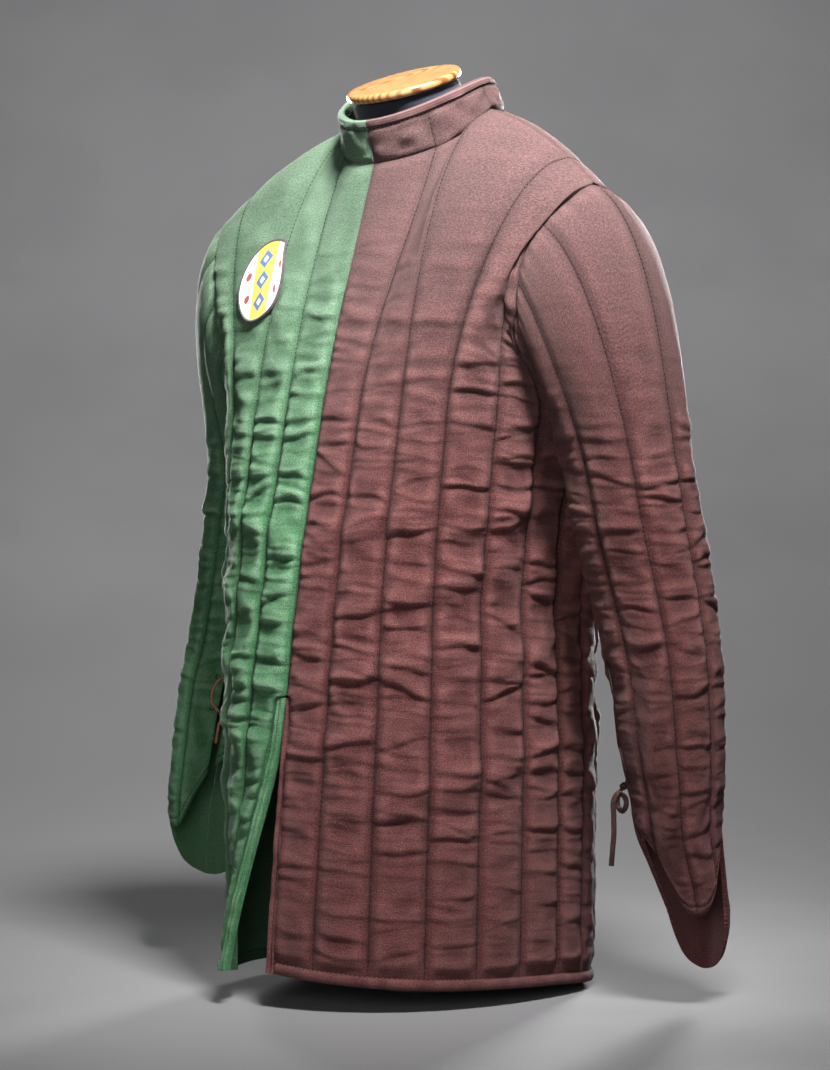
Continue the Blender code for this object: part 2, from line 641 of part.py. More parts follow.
def cord(name, points, radius, slot):
    curve = bpy.data.curves.new(name, "CURVE")
    curve.dimensions = "3D"
    curve.bevel_depth = radius
    curve.bevel_resolution = 2
    curve.use_fill_caps = True
    curve.render_resolution_u = 0
    spline = curve.splines.new("POLY")
    spline.points.add(len(points) - 1)
    for target, p in zip(spline.points, points):
        target.co = (*map(float, p), 1.0)
    made = bpy.data.objects.new(name, curve)
    made.data.materials.append(slot)
    bpy.context.scene.collection.objects.link(made)
    return made


BOW_LEFT = (
    (0.000, 0.0052, 0.000), (0.001, 0.0110, 0.006), (0.002, 0.0150, 0.014),
    (0.001, 0.0150, 0.021), (-0.003, 0.0120, 0.024), (-0.006, 0.0080, 0.019),
    (-0.007, 0.0075, 0.011), (-0.009, 0.0130, 0.006), (-0.009, 0.0180, 0.012),
    (-0.008, 0.0210, 0.028), (-0.007, 0.0240, 0.045), (-0.006, 0.0290, 0.060),
    (-0.005, 0.0350, 0.076),
)
BOW_RIGHT = (
    (0.000, 0.0052, 0.000), (0.004, 0.0095, -0.004), (0.010, 0.0110, -0.004),
    (0.014, 0.0095, 0.002), (0.011, 0.0080, 0.008), (0.004, 0.0080, 0.008),
    (-0.001, 0.0095, 0.010), (-0.002, 0.0110, 0.020), (-0.002, 0.0110, 0.032),
)
lace_left = lace_points(LEFT_RINGS, 1, LACE_LIFT_LEFT, (0.326, 0.288, 0.250, 0.216), BOW_LEFT)
lace_right = lace_points(RIGHT_RINGS, -1, LACE_LIFT_RIGHT, (0.372, 0.336, 0.300, 0.268), BOW_RIGHT)
cord("lace_left", lace_left, LACE_RADIUS, THONG)
cord("lace_right", lace_right, LACE_RADIUS, THONG_RED)

# --------------------------------------------------------------------- dress form
# A smooth jersey torso without limbs, with a short neck, a turned pine cap that
# leans forward, and a steel pole on a round foot inside the skirt.
FORM_ROWS = (0.35, 0.42, 0.49, 0.56)
FORM_THIRDS = (0, 2, 3, 4, 5, 6, 7, 8, 9, 10, 11, 12, 14, 16, 18, 20, 22, 24, 25, 26, 27, 28, 29, 30, 31, 32, 33, 34, 36)
CAP_CENTRE = np.array([0.0, -0.022, 0.893])
CAP_LEAN = math.radians(22)
CAP_RADIUS, CAP_HALF = 0.0585, 0.0042

form_points, form_faces, known = [], [], {}


def form_index(p):
    key = tuple(np.round(p, 6) + 0.0)
    if key not in known:
        known[key] = len(form_points)
        form_points.append(np.array(key))
    return known[key]


def form_face(*corners):
    face = []
    for corner in corners:
        index = form_index(corner)
        if index not in face:
            face.append(index)
    if len(face) > 2:
        form_faces.append(tuple(face))


def form_depth(v):
    """How far the form lies below the stitched face of the cloth."""
    return WALL + FORM_CLEAR + 0.013 * (1 - blend(1.30, 1.90, v))


def form_grid():
    """Left half of the form, on the columns and upper rows of the panels."""
    base, normals = BODY[1]
    grid = []
    for third in FORM_THIRDS:
        column = []
        for z in FORM_ROWS:
            p = skirt_point(1, third / 3, z)
            share = form_depth(0) / 0.17
            column.append(p * (1 - share) + np.array([0, 0, z]) * share)
        for j in range(len(LOW_ROWS), len(V_STEPS)):
            p = base[third, j] - normals[third, j] * form_depth(V_STEPS[j])
            column.append(p)
        grid.append(column)
    grid = np.array(grid)
    grid[0, :, 0] = grid[-1, :, 0] = 0
    for i in range(len(FORM_THIRDS)):
        if NECK_C * 3 <= FORM_THIRDS[i] <= SHOULDER_C * 3 + 0.1:
            k = FORM_THIRDS.index(36 - FORM_THIRDS[i])
            grid[i, -1] = grid[k, -1] = (grid[i, -1] + grid[k, -1]) / 2
    return grid


half = form_grid()
columns, rows = half.shape[:2]
tip = FORM_THIRDS.index(10)
for side in (1, -1):
    grid = half * np.array([side, 1, 1])
    for i in range(columns - 1):
        for j in range(rows - 1):
            form_face(grid[i, j], grid[i + 1, j], grid[i + 1, j + 1], grid[i, j + 1])
        form_face(grid[i, 0], grid[i + 1, 0], np.array([0, 0, FORM_ROWS[0]]))
    # rounded end over the armhole
    loop = grid[tip : columns - tip, -1]
    middle = loop[:-1].mean(axis=0)
    inset = middle + (loop - middle) * 0.62 + np.array([side * 0.010, 0, -0.002])
    inset[-1] = inset[0]
    peak = middle + np.array([side * 0.014, 0, -0.003])
    for i in range(len(loop) - 1):
        form_face(loop[i], loop[i + 1], inset[i + 1], inset[i])
        form_face(inset[i], inset[i + 1], peak)

lean = np.array([0, -math.sin(CAP_LEAN), math.cos(CAP_LEAN)])
seat = CAP_CENTRE - lean * (CAP_HALF + GAP)


def neck_ring(angle, radius, centre, tilt):
    x, y = radius * math.sin(angle), -radius * math.cos(angle)
    return centre + np.array([x, y * math.cos(tilt), y * math.sin(tilt)])


ring_thirds = [third for third in FORM_THIRDS if third <= 6 or third > 30]
loops = []
for side in (1, -1):
    edge = [half[FORM_THIRDS.index(third), -1] * np.array([side, 1, 1]) for third in ring_thirds]
    angles = [neckline(third / 3)[0] * side for third in ring_thirds]
    loops.append((edge, angles))
edge = loops[0][0] + loops[1][0][::-1][1:-1]
angles = loops[0][1] + loops[1][1][::-1][1:-1]
rings = [
    edge,
    [p - np.array([math.sin(a), -math.cos(a), 0.15]) * 0.006 for p, a in zip(edge, angles)],
    [neck_ring(a, 0.0605, np.array([0, 0.000, 0.862]), math.radians(16)) for a in angles],
    [neck_ring(a, 0.0550, seat - lean * 0.008, CAP_LEAN) for a in angles],
    [neck_ring(a, 0.0540, seat, CAP_LEAN) for a in angles],
]
for low, high in zip(rings, rings[1:]):
    for i in range(len(low)):
        k = (i + 1) % len(low)
        form_face(low[i], low[k], high[k], high[i])
for i in range(len(rings[-1])):
    form_face(rings[-1][i], rings[-1][(i + 1) % len(rings[-1])], seat)
mesh_object("form_torso", form_points, form_faces, NAVY)


def turned(name, profile, centre, axis_lean, segments, slot):
    """Solid of revolution: profile of (radius, height), about an axis leaning to -Y."""
    points, faces = [], []
    up = np.array([0, -math.sin(axis_lean), math.cos(axis_lean)])
    back = np.array([0, math.cos(axis_lean), math.sin(axis_lean)])
    for radius, height in profile:
        for k in range(segments if radius else 1):
            angle = 2 * math.pi * k / segments
            points.append(
                centre + up * height
                + np.array([1, 0, 0]) * radius * math.cos(angle) + back * radius * math.sin(angle)
            )
    starts, run = [], 0
    for radius, _ in profile:
        starts.append(run)
        run += segments if radius else 1
    for i in range(len(profile) - 1):
        low, high = starts[i], starts[i + 1]
        for k in range(segments):
            m = (k + 1) % segments
            if not profile[i][0]:
                faces.append((low, high + m, high + k))
            elif not profile[i + 1][0]:
                faces.append((low + k, low + m, high))
            else:
                faces.append((low + k, low + m, high + m, high + k))
    return mesh_object(name, points, faces, slot)


CAP_PROFILE = (
    (0, -CAP_HALF), (CAP_RADIUS - 0.003, -CAP_HALF), (CAP_RADIUS - 0.0006, -0.0022),
    (CAP_RADIUS, 0.0), (CAP_RADIUS - 0.0006, 0.0022), (CAP_RADIUS - 0.003, CAP_HALF),
    (0, CAP_HALF),
)
turned("neck_cap", CAP_PROFILE, CAP_CENTRE, CAP_LEAN, 36, PINE)
STAND_PROFILE = (
    (0, 0.0), (FOOT_RADIUS - 0.001, 0.0), (FOOT_RADIUS, 0.001), (FOOT_RADIUS, FOOT_HEIGHT - 0.002),
    (FOOT_RADIUS - 0.002, FOOT_HEIGHT), (POLE_RADIUS + 0.006, FOOT_HEIGHT),
    (POLE_RADIUS, FOOT_HEIGHT + 0.008), (POLE_RADIUS, FORM_ROWS[0] - GAP), (0, FORM_ROWS[0] - GAP),
)
turned("form_stand", STAND_PROFILE, np.array([0, POLE_Y, 0]), 0.0, 32, STEEL)
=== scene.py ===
"""Quilted mi-parti gambeson on a limbless dress form: the looks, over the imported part."""

import math

import bmesh
import bpy
import numpy as np
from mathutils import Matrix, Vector


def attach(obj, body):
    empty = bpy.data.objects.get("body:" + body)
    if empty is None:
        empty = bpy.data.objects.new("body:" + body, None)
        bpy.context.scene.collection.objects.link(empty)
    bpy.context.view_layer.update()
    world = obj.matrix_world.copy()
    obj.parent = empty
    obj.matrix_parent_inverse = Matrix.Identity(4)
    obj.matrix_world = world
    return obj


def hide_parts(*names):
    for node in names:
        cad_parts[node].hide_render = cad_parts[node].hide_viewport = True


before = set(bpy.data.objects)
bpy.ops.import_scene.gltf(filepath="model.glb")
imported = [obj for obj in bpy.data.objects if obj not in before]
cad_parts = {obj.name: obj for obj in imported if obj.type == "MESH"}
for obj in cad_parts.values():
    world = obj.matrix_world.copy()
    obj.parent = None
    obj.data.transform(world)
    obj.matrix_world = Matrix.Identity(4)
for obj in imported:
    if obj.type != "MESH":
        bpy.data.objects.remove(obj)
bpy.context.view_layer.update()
BODY = "root"

# ============================================================================ camera
# A long lens, level with the middle of the skirt, looks at the wearer's left front.
LOOK_AZIMUTH = math.radians(40)
CAMERA_FAR, CAMERA_ASIDE, CAMERA_HEIGHT = 3.0, 0.003, 0.445
SENSOR, LENS = 36, 3000 / 1070 * 36


def placed(name, data):
    """A new object of the scene, at the origin."""
    made = bpy.data.objects.new(name, data)
    bpy.context.scene.collection.objects.link(made)
    return made


camera = placed("camera", bpy.data.cameras.new("camera"))
camera.location = (
    CAMERA_FAR * math.sin(LOOK_AZIMUTH) - CAMERA_ASIDE * math.cos(LOOK_AZIMUTH),
    -CAMERA_FAR * math.cos(LOOK_AZIMUTH) - CAMERA_ASIDE * math.sin(LOOK_AZIMUTH),
    CAMERA_HEIGHT,
)
camera.rotation_euler = (math.pi / 2, 0, LOOK_AZIMUTH)
camera.data.sensor_width, camera.data.lens = SENSOR, LENS
camera.data.clip_end = 60
bpy.context.scene.camera = camera

# ============================================================================= laces
# A flat leather thong closes the slit of each forearm. It crosses the slit through
# worked eyelets, is tied in a bow at the wrist, and one end of the left one hangs free.
# sleeve rings: z, x, y, half x, half y
LEFT_RINGS = (
    (0.030, 0.296, 0.062, 0.031, 0.038), (0.090, 0.295, 0.057, 0.031, 0.038),
    (0.170, 0.288, 0.041, 0.036, 0.044), (0.200, 0.287, 0.039, 0.039, 0.047),
    (0.245, 0.284, 0.036, 0.044, 0.053), (0.290, 0.282, 0.033, 0.046, 0.055),
    (0.345, 0.275, 0.030, 0.050, 0.058), (0.385, 0.268, 0.027, 0.052, 0.061),
    (0.460, 0.258, 0.016, 0.054, 0.066), (0.500, 0.253, 0.011, 0.055, 0.067),
)
RIGHT_RINGS = (
    (0.080, 0.290, -0.010, 0.031, 0.038), (0.150, 0.286, -0.008, 0.033, 0.041),
    (0.220, 0.279, 0.003, 0.041, 0.050), (0.290, 0.273, 0.016, 0.045, 0.055),
    (0.345, 0.268, 0.032, 0.049, 0.058), (0.385, 0.265, 0.040, 0.051, 0.061),
    (0.460, 0.257, 0.050, 0.053, 0.066), (0.500, 0.253, 0.053, 0.054, 0.067),
)
RINGS = {1: LEFT_RINGS, -1: RIGHT_RINGS}
SIDES = ((-1, "right"), (1, "left"))
LACE_WIDTH, LACE_THICK = {1: 0.0050, -1: 0.0030}, {1: 0.0018, -1: 0.0020}
LACE_HEIGHTS = {1: (0.326, 0.288, 0.250, 0.216), -1: (0.372, 0.336, 0.300, 0.268)}
LACE_LIFT, LACE_NEAR, LACE_STEP = {1: 0.0026, -1: 0.0022}, 0.0105, 0.0016
# bow and tail below the last crossing: across the slit, out from the cuff, down
BOW = {
    1: (
        (0.000, 0.0052, 0.000), (0.001, 0.0110, 0.006), (0.002, 0.0150, 0.014),
        (0.001, 0.0150, 0.021), (-0.003, 0.0120, 0.024), (-0.006, 0.0080, 0.019),
        (-0.007, 0.0075, 0.011), (-0.009, 0.0130, 0.006), (-0.009, 0.0180, 0.012),
        (-0.008, 0.0210, 0.028), (-0.007, 0.0240, 0.045), (-0.006, 0.0290, 0.060),
        (-0.005, 0.0350, 0.076),
    ),
    -1: (
        (0.000, 0.0052, 0.000), (0.004, 0.0095, -0.004), (0.010, 0.0110, -0.004),
        (0.014, 0.0095, 0.002), (0.011, 0.0080, 0.008), (0.004, 0.0080, 0.008),
        (-0.001, 0.0095, 0.010), (-0.002, 0.0110, 0.020), (-0.002, 0.0110, 0.032),
    ),
}


def hermite(t):
    """Weights at t of a curve's start, first slope, end and last slope."""
    return 2 * t**3 - 3 * t**2 + 1, t**3 - 2 * t**2 + t, -2 * t**3 + 3 * t**2, t**3 - t**2


def curve_through(xs, ys, x):
    """Values at x of a soft curve through the points (xs, ys). Each y may be an array."""
    xs, ys, x = np.asarray(xs, float), np.asarray(ys, float), np.asarray(x, float)
    slopes = np.gradient(ys, xs, axis=0)
    i = np.clip(np.searchsorted(xs, x) - 1, 0, len(xs) - 2)
    more = (...,) + (None,) * (ys.ndim - 1)
    h = (xs[i + 1] - xs[i])[more]
    t = np.clip((x[more] - xs[i][more]) / h, 0, 1)
    a, b, c, d = hermite(t)
    return a * ys[i] + b * h * slopes[i] + c * ys[i + 1] + d * h * slopes[i + 1]


def row_at(table, x):
    """The other columns of a table at x, which is read in its first column."""
    values = np.asarray(table, float)
    return curve_through(values[:, 0], values[:, 1:], x)


def unit(v):
    return v / np.maximum(np.linalg.norm(v, axis=-1, keepdims=True), 1e-12)


def runs(points, axis=0):
    """Distance from the start along each line of points."""
    steps = np.linalg.norm(np.diff(points, axis=axis), axis=-1).cumsum(axis=axis)
    return np.insert(steps, 0, 0, axis=axis)


def blend(low, high, x):
    """Goes smoothly from 0 at low to 1 at high."""
    t = np.clip((x - low) / (high - low), 0.0, 1.0)
    return t * t * (3 - 2 * t)


def ring_point(rings, k, z):
    """Point of a sleeve, k sixteenths of the way round and at height z."""
    x, y, half_x, half_y = row_at(rings, z)
    angle = -2 * math.pi * k / 16
    return np.array([x + half_x * math.cos(angle), y + half_y * math.sin(angle), z])


SLIT_OUT = unit(np.array([math.cos(-2.356) / 0.8, math.sin(-2.356), 0.0]))
SLIT_ACROSS = np.array([SLIT_OUT[1], -SLIT_OUT[0], 0.0])


def on_cuff(side, across, out, z):
    """Point beside a forearm's slit."""
    p = ring_point(RINGS[side], 6, z) + SLIT_OUT * out + SLIT_ACROSS * across
    return p * np.array([side, 1, 1])


def lace_route(side):
    """Corner points of the thong's centre line."""
    near, lift, heights = LACE_NEAR, LACE_LIFT[side], LACE_HEIGHTS[side]
    points = [on_cuff(side, near, lift, heights[0])]
    for high, low in zip(heights, heights[1:]):
        near = -near
        points += [on_cuff(side, near, lift, high - 0.007), on_cuff(side, near, lift, low)]
    for across, out, down in BOW[side]:
        points.append(on_cuff(side, across, out, heights[-1] - 0.008 - down))
    return np.array(points)


def softened(points, step):
    """Evenly spaced points on a soft curve through the given ones."""
    run = runs(points)
    fine = curve_through(run, points, np.linspace(0, run[-1], 400))
    run = runs(fine)
    even = np.linspace(0, run[-1], int(run[-1] / step) + 1)
    return np.stack([np.interp(even, run, fine[:, i]) for i in range(3)], axis=1)


class Wire:
    """A shader socket. Arithmetic on it adds Math nodes, for single values."""

    tree = None

    def __init__(self, socket):
        self.socket = socket

    def maths(self, operation, *others):
        return shader("ShaderNodeMath", dict(enumerate([self, *others])), operation=operation)

    def ramp(self, low, high, start=0.0, end=1.0):
        """Goes smoothly from start at low to end at high."""
        sockets = {"Value": self, "From Min": low, "From Max": high, "To Min": start, "To Max": end}
        return shader("ShaderNodeMapRange", sockets, interpolation_type="SMOOTHSTEP")


def shader(kind, sockets=(), out=0, **settings):
    """Adds a shader node: its settings first, then the values or links of its sockets."""
    made = Wire.tree.nodes.new(kind)
    for key, value in settings.items():
        setattr(made, key, value)
    for key, value in dict(sockets).items():
        if isinstance(value, Wire):
            Wire.tree.links.new(value.socket, made.inputs[key])
        else:
            made.inputs[key].default_value = value
    return Wire(made.outputs[out])


def operator(operation, flip):
    def apply(a, b):
        return shader("ShaderNodeMath", dict(enumerate((b, a) if flip else (a, b))), operation=operation)

    return apply


for short, operation in (
    ("add", "ADD"), ("sub", "SUBTRACT"), ("mul", "MULTIPLY"), ("truediv", "DIVIDE"), ("pow", "POWER"),
):
    setattr(Wire, f"__{short}__", operator(operation, False))
    setattr(Wire, f"__r{short}__", operator(operation, True))


def mixed(share, first, second):
    """Two colours mixed by share."""
    first, second = (c if isinstance(c, Wire) else (*c, 1) for c in (first, second))
    return shader("ShaderNodeMix", {0: share, 6: first, 7: second}, 2, data_type="RGBA")


def vector(kind):
    """Object coordinates, or the piece's own UV map."""
    return shader("ShaderNodeTexCoord", out=kind)


def vector_maths(operation, first, second):
    return shader("ShaderNodeVectorMath", {0: first, 1: second}, operation=operation)


def stretched(vector, scale, turn=(0, 0, 0), place=(0, 0, 0)):
    sockets = {"Vector": vector, "Location": place, "Rotation": turn, "Scale": scale}
    return shader("ShaderNodeMapping", sockets)


def noise(vector, scale, detail=3.0, rough=0.55):
    sockets = {"Vector": vector, "Scale": scale, "Detail": detail, "Roughness": rough}
    return shader("ShaderNodeTexNoise", sockets)


def parts_of(vector):
    made = shader("ShaderNodeSeparateXYZ", {0: vector}).socket.node
    return [Wire(out) for out in made.outputs]


def bump(height, distance, strength=1.0):
    return shader("ShaderNodeBump", {"Height": height, "Distance": distance, "Strength": strength})


def finish(name, build, **constants):
    """A material: build wires the inputs that vary, and constants set the others."""
    made = bpy.data.materials.new(name)
    made.use_nodes = True
    coat = made.node_tree.nodes["Principled BSDF"]
    Wire.tree = made.node_tree
    for key, value in constants.items():
        socket = coat.inputs[key.replace("_", " ")]
        socket.default_value = (*value, 1) if isinstance(value, tuple) else value
    for key, wire in build().items():
        made.node_tree.links.new(wire.socket, coat.inputs[key])
    return made


def leather(dark, light):
    """Greasy, creased leather, paler where it is rubbed."""

    def build():
        place = vector("Object")
        patches = noise(place, 260, 4)
        grain = noise(place, 1900, 3, 0.6)
        rub = (patches * 0.6 + grain * 0.4).ramp(0.35, 0.68)
        return {
            "Base Color": mixed(rub, dark, light),
            "Roughness": rub.ramp(0, 1, 0.42, 0.66),
            "Normal": bump(grain + patches * 0.8, 0.0003, 0.7),
        }

    return build


THONG = {
    1: finish(
        "thong_leather", leather((0.018, 0.008, 0.007), (0.062, 0.028, 0.022)), Specular_IOR_Level=0.25
    ),
    -1: finish("thong_leather_red", leather((0.095, 0.022, 0.012), (0.260, 0.080, 0.045))),
}


def piece(name, points, faces, material, node=None, smooth=True, sharp=None):
    """A finished mesh in its place, riding on the part and standing for its CAD node."""
    mesh = bpy.data.meshes.new(name)
    mesh.from_pydata([tuple(map(float, p)) for p in points], [], faces)
    work = bmesh.new()
    work.from_mesh(mesh)
    bmesh.ops.recalc_face_normals(work, faces=work.faces)
    if work.calc_volume(signed=True) < 0:
        bmesh.ops.reverse_faces(work, faces=work.faces)
    work.to_mesh(mesh)
    work.free()
    mesh.polygons.foreach_set("use_smooth", [smooth] * len(mesh.polygons))
    if sharp:
        mesh.set_sharp_from_angle(angle=math.radians(sharp))
    mesh.materials.append(material)
    made = placed(name, mesh)
    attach(made, BODY)
    if node:
        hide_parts(node)
    return made


def painted(made, uv, crest=None):
    """Gives a piece its UV map and, on linen, how far each point stands on a crest."""
    if crest is not None:
        made.data.attributes.new("crest", "FLOAT", "POINT").data.foreach_set("value", crest)
    index = np.empty(len(made.data.loops), int)
    made.data.loops.foreach_get("vertex_index", index)
    made.data.uv_layers.new(name="cloth").data.foreach_set("uv", np.asarray(uv)[index].reshape(-1))


def loft(count, n):
    """Faces of a tube of count rings of n points, with its two ends."""
    faces = [
        (i * n + j, i * n + (j + 1) % n, (i + 1) * n + (j + 1) % n, (i + 1) * n + j)
        for i in range(count - 1) for j in range(n)
    ]
    return faces + [tuple(range(n)), tuple(range((count - 1) * n, count * n))]


def ribbon(name, path, facing, width, thick, material, node=None):
    """A flat thong along a path, its broad face turned to facing."""
    along = unit(np.gradient(path, axis=0))
    across = unit(np.cross(along, facing))
    out = unit(np.cross(across, along))
    section = (
        (-0.5, -0.30), (-0.42, -0.5), (0.42, -0.5), (0.5, -0.30),
        (0.5, 0.30), (0.42, 0.5), (-0.42, 0.5), (-0.5, 0.30),
    )
    points = [
        p + a * width * u + o * thick * w
        for p, a, o in zip(path, across, out) for u, w in section
    ]
    return piece(name, points, loft(len(path), len(section)), material, node)


for side, half in SIDES:
    route = softened(lace_route(side), LACE_STEP)
    hanging = blend(0.0, 0.02, LACE_HEIGHTS[side][-1] - 0.006 - route[:, 2])[:, None]
    facing = SLIT_OUT * [side, 1, 1] * (1 - hanging) + np.array([0.64, -0.77, 0.0]) * hanging
    lace = ribbon(
        f"thong_{half}", route, facing, LACE_WIDTH[side], LACE_THICK[side], THONG[side], f"lace_{half}"
    )

# ======================================================================= dress form
# A limbless torso under navy jersey with a turned pine cap on its neck. It stands on
# a steel tube with a round foot, all inside the garment but for the neck.


def turned(profile, centre, lean, segments):
    """Points and faces of a solid of revolution about an axis that leans forward."""
    up = np.array([0, -math.sin(lean), math.cos(lean)])
    back = np.array([0, math.cos(lean), math.sin(lean)])
    points, faces, low = [], [], None
    for radius, height in profile:
        high = len(points)
        for k in range(segments if radius else 1):
            angle = 2 * math.pi * k / segments
            spoke = np.array([1, 0, 0]) * math.cos(angle) + back * math.sin(angle)
            points.append(centre + up * height + spoke * radius)
        for k in range(segments if low is not None else 0):
            m = (k + 1) % segments
            if high - low == 1:
                faces.append((low, high + m, high + k))
            elif not radius:
                faces.append((low + k, low + m, high))
            else:
                faces.append((low + k, low + m, high + m, high + k))
        low = high
    return points, faces


def jersey():
    """Fine knitted jersey: ribs of tiny stitches and a little lint."""
    place = vector("Object")
    x, y, z = parts_of(place)
    ribs = ((x + y * 0.7) * 5200).maths("SINE")
    rows = (z * 4600).maths("SINE")
    knit = ribs * rows
    lint = noise(place, 900, 2)
    return {
        "Base Color": mixed(lint.ramp(0.55, 0.75), (0.006, 0.008, 0.018), (0.030, 0.034, 0.055)),
        "Roughness": lint.ramp(0.3, 0.7, 0.8, 0.95),
        "Normal": bump(knit * 0.5 + lint, 0.0002, 0.6),
    }


CAP_LEAN = math.radians(22)
CAP_CENTRE = np.array([0.0, -0.022, 0.893])
CAP_RADIUS, CAP_HALF, CAP_RIM = 0.0585, 0.0042, 0.003


def pine():
    """Flat-sawn pine under clear lacquer: arched growth rings, pores and a warm figure."""
    middle = vector_maths("SUBTRACT", vector("Object"), tuple(CAP_CENTRE))
    place = stretched(middle, (1, 1, 1), (-CAP_LEAN, 0, math.radians(24)), (0.020, 0.010, 0.0))
    bent = vector_maths("MULTIPLY", place, (1.0, 0.22, 1.0))
    drift = noise(bent, 26, 2)
    x, y, _ = parts_of(bent)
    arch = (x * x + y * y * 2.4 + 0.00002).maths("SQRT")
    rings = ((arch + drift * 0.006) * 1050).maths("SINE") * 0.5 + 0.5
    late = rings.ramp(0.35, 0.90)
    fibre = noise(stretched(place, (1900, 120, 1900)), 1.0, 3)
    tone = mixed(late, (0.430, 0.225, 0.088), (0.125, 0.038, 0.010))
    patch = noise(place, 60, 2)
    tone = mixed(patch.ramp(0.3, 0.7, 0.0, 0.5), tone, (0.430, 0.225, 0.085))
    return {
        "Base Color": mixed(fibre.ramp(0.35, 0.75, 0.0, 0.30), tone, (0.21, 0.08, 0.022)),
        "Roughness": (late * 0.06 + fibre * 0.12) + 0.24,
        "Normal": bump(fibre * 0.4 + late * 0.6, 0.00015, 0.35),
    }


def painted_steel():
    """Black powder coat with its fine orange peel."""
    place = vector("Object")
    peel = noise(place, 700, 2)
    dust = noise(place, 35, 3)
    return {
        "Base Color": mixed(dust.ramp(0.45, 0.8), (0.018, 0.018, 0.020), (0.050, 0.048, 0.046)),
        "Roughness": dust.ramp(0.3, 0.8, 0.38, 0.6),
        "Normal": bump(peel, 0.0002, 0.5),
    }


form = bpy.data.meshes.new_from_object(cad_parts["form_torso"])
work = bmesh.new()
work.from_mesh(form)
bmesh.ops.remove_doubles(work, verts=work.verts, dist=1e-6)
form_points = [v.co.copy() for v in work.verts]
form_faces = [[v.index for v in f.verts] for f in work.faces]
work.free()
bpy.data.meshes.remove(form)
dress_form = piece(
    "dress_form", form_points, form_faces,
    finish("navy_jersey_knit", jersey, Sheen_Weight=0.4, Sheen_Roughness=0.4), "form_torso",
)
soft = dress_form.modifiers.new("soft", "SUBSURF")
soft.levels = soft.render_levels = 1
cap_profile = [(0, -CAP_HALF), (CAP_RADIUS - CAP_RIM, -CAP_HALF)]
for step in range(9):
    angle = math.pi * (step / 8 - 0.5)
    cap_profile.append((CAP_RADIUS - CAP_RIM + CAP_RIM * math.cos(angle), CAP_HALF * math.sin(angle)))
cap_profile += [(CAP_RADIUS - 0.012, CAP_HALF + 0.0001), (0, CAP_HALF + 0.0002)]
piece(
    "neck_cap_wood", *turned(cap_profile, CAP_CENTRE, CAP_LEAN, 128),
    finish("lacquered_pine", pine, Coat_Weight=0.35, Coat_Roughness=0.22), "neck_cap", sharp=60,
)
FOOT, FOOT_HEIGHT, POLE, POLE_TOP = 0.098, 0.006, 0.0125, 0.3497
stand_profile = [
    (0, 0.0), (FOOT - 0.001, 0.0), (FOOT - 0.0002, 0.0004), (FOOT, 0.001), (FOOT, FOOT_HEIGHT - 0.0015),
    (FOOT - 0.0005, FOOT_HEIGHT - 0.0004), (FOOT - 0.0015, FOOT_HEIGHT), (POLE + 0.006, FOOT_HEIGHT),
    (POLE + 0.003, FOOT_HEIGHT + 0.001), (POLE + 0.001, FOOT_HEIGHT + 0.004),
    (POLE, FOOT_HEIGHT + 0.008), (POLE, POLE_TOP), (0, POLE_TOP),
]
piece(
    "stand_foot_and_tube", *turned(stand_profile, np.array([0, 0.015, 0]), 0.0, 96),
    finish("black_powder_coat", painted_steel), "form_stand", sharp=40,
)

# ===================================================================== body panels
# Front and back of each half: linen outside, cotton wadding and a plain lining, sewn
# through in long lines. The right half is green and the left half brown. The cloth is
# longer than its stitching, so it puckers across every channel.
WALL, GAP, LINING_CREST = 0.003, 0.0003, 0.62
CHANNELS, CHANNEL_WIDTH = 6, 0.0465
SHOULDER_C, NECK_C = 10 / 3, 2.0
JOIN_Z, SLIT_TOP, SLIT_BAND, HEM_BAND = 0.56, 0.288, 0.0098, 0.0095
# how far the right half's lower front corner swings across and forward
SLIT_SWING = (0.035, -0.018)
HEM_HEIGHTS = ((0, 0.033), (1.5, 0.026), (3, 0.020), (4.5, 0.016), (6, 0.012), (8, 0.005), (12, 0.005))
NECK_Y, NECK_RX, NECK_RY = 0.010, 0.080, 0.078
NECK_FRONT_Z, NECK_SIDE_Z, NECK_BACK_Z = 0.810, 0.866, 0.873
NECK_SIDE_ANGLE = math.radians(95)
PUFF_WAIST, PUFF_CHEST = 0.0034, 0.0017
CREASE_ROLL, CREASE_DEPTH, CREASE_PITCH, FINE_PITCH = 0.0041, 0.0007, 0.0130, 0.0074
BADGE_C, BADGE_V = 2.28, 1.385
BADGE_HALF_WIDTH, BADGE_HALF_HEIGHT = 0.037, 0.043
BADGE_LIFT, BADGE_WALL, BADGE_SUNK = 0.0031, 0.0012, 0.0014
# z, half width left and right, depth in front and behind, and how square each is
SECTIONS = (
    (0.000, 0.173, 0.160, 0.226, 0.150, 2.30, 1.75, 2.30),
    (0.150, 0.175, 0.166, 0.212, 0.150, 2.30, 1.95, 2.30),
    (0.290, 0.174, 0.172, 0.194, 0.150, 2.30, 2.20, 2.30),
    (0.380, 0.170, 0.170, 0.181, 0.158, 2.40, 2.40, 2.40),
    (0.460, 0.177, 0.177, 0.166, 0.163, 2.60, 2.60, 2.60),
    (0.520, 0.186, 0.186, 0.153, 0.170, 2.70, 2.70, 2.80),
    (0.560, 0.192, 0.192, 0.1445, 0.177, 2.80, 2.80, 2.90),
)
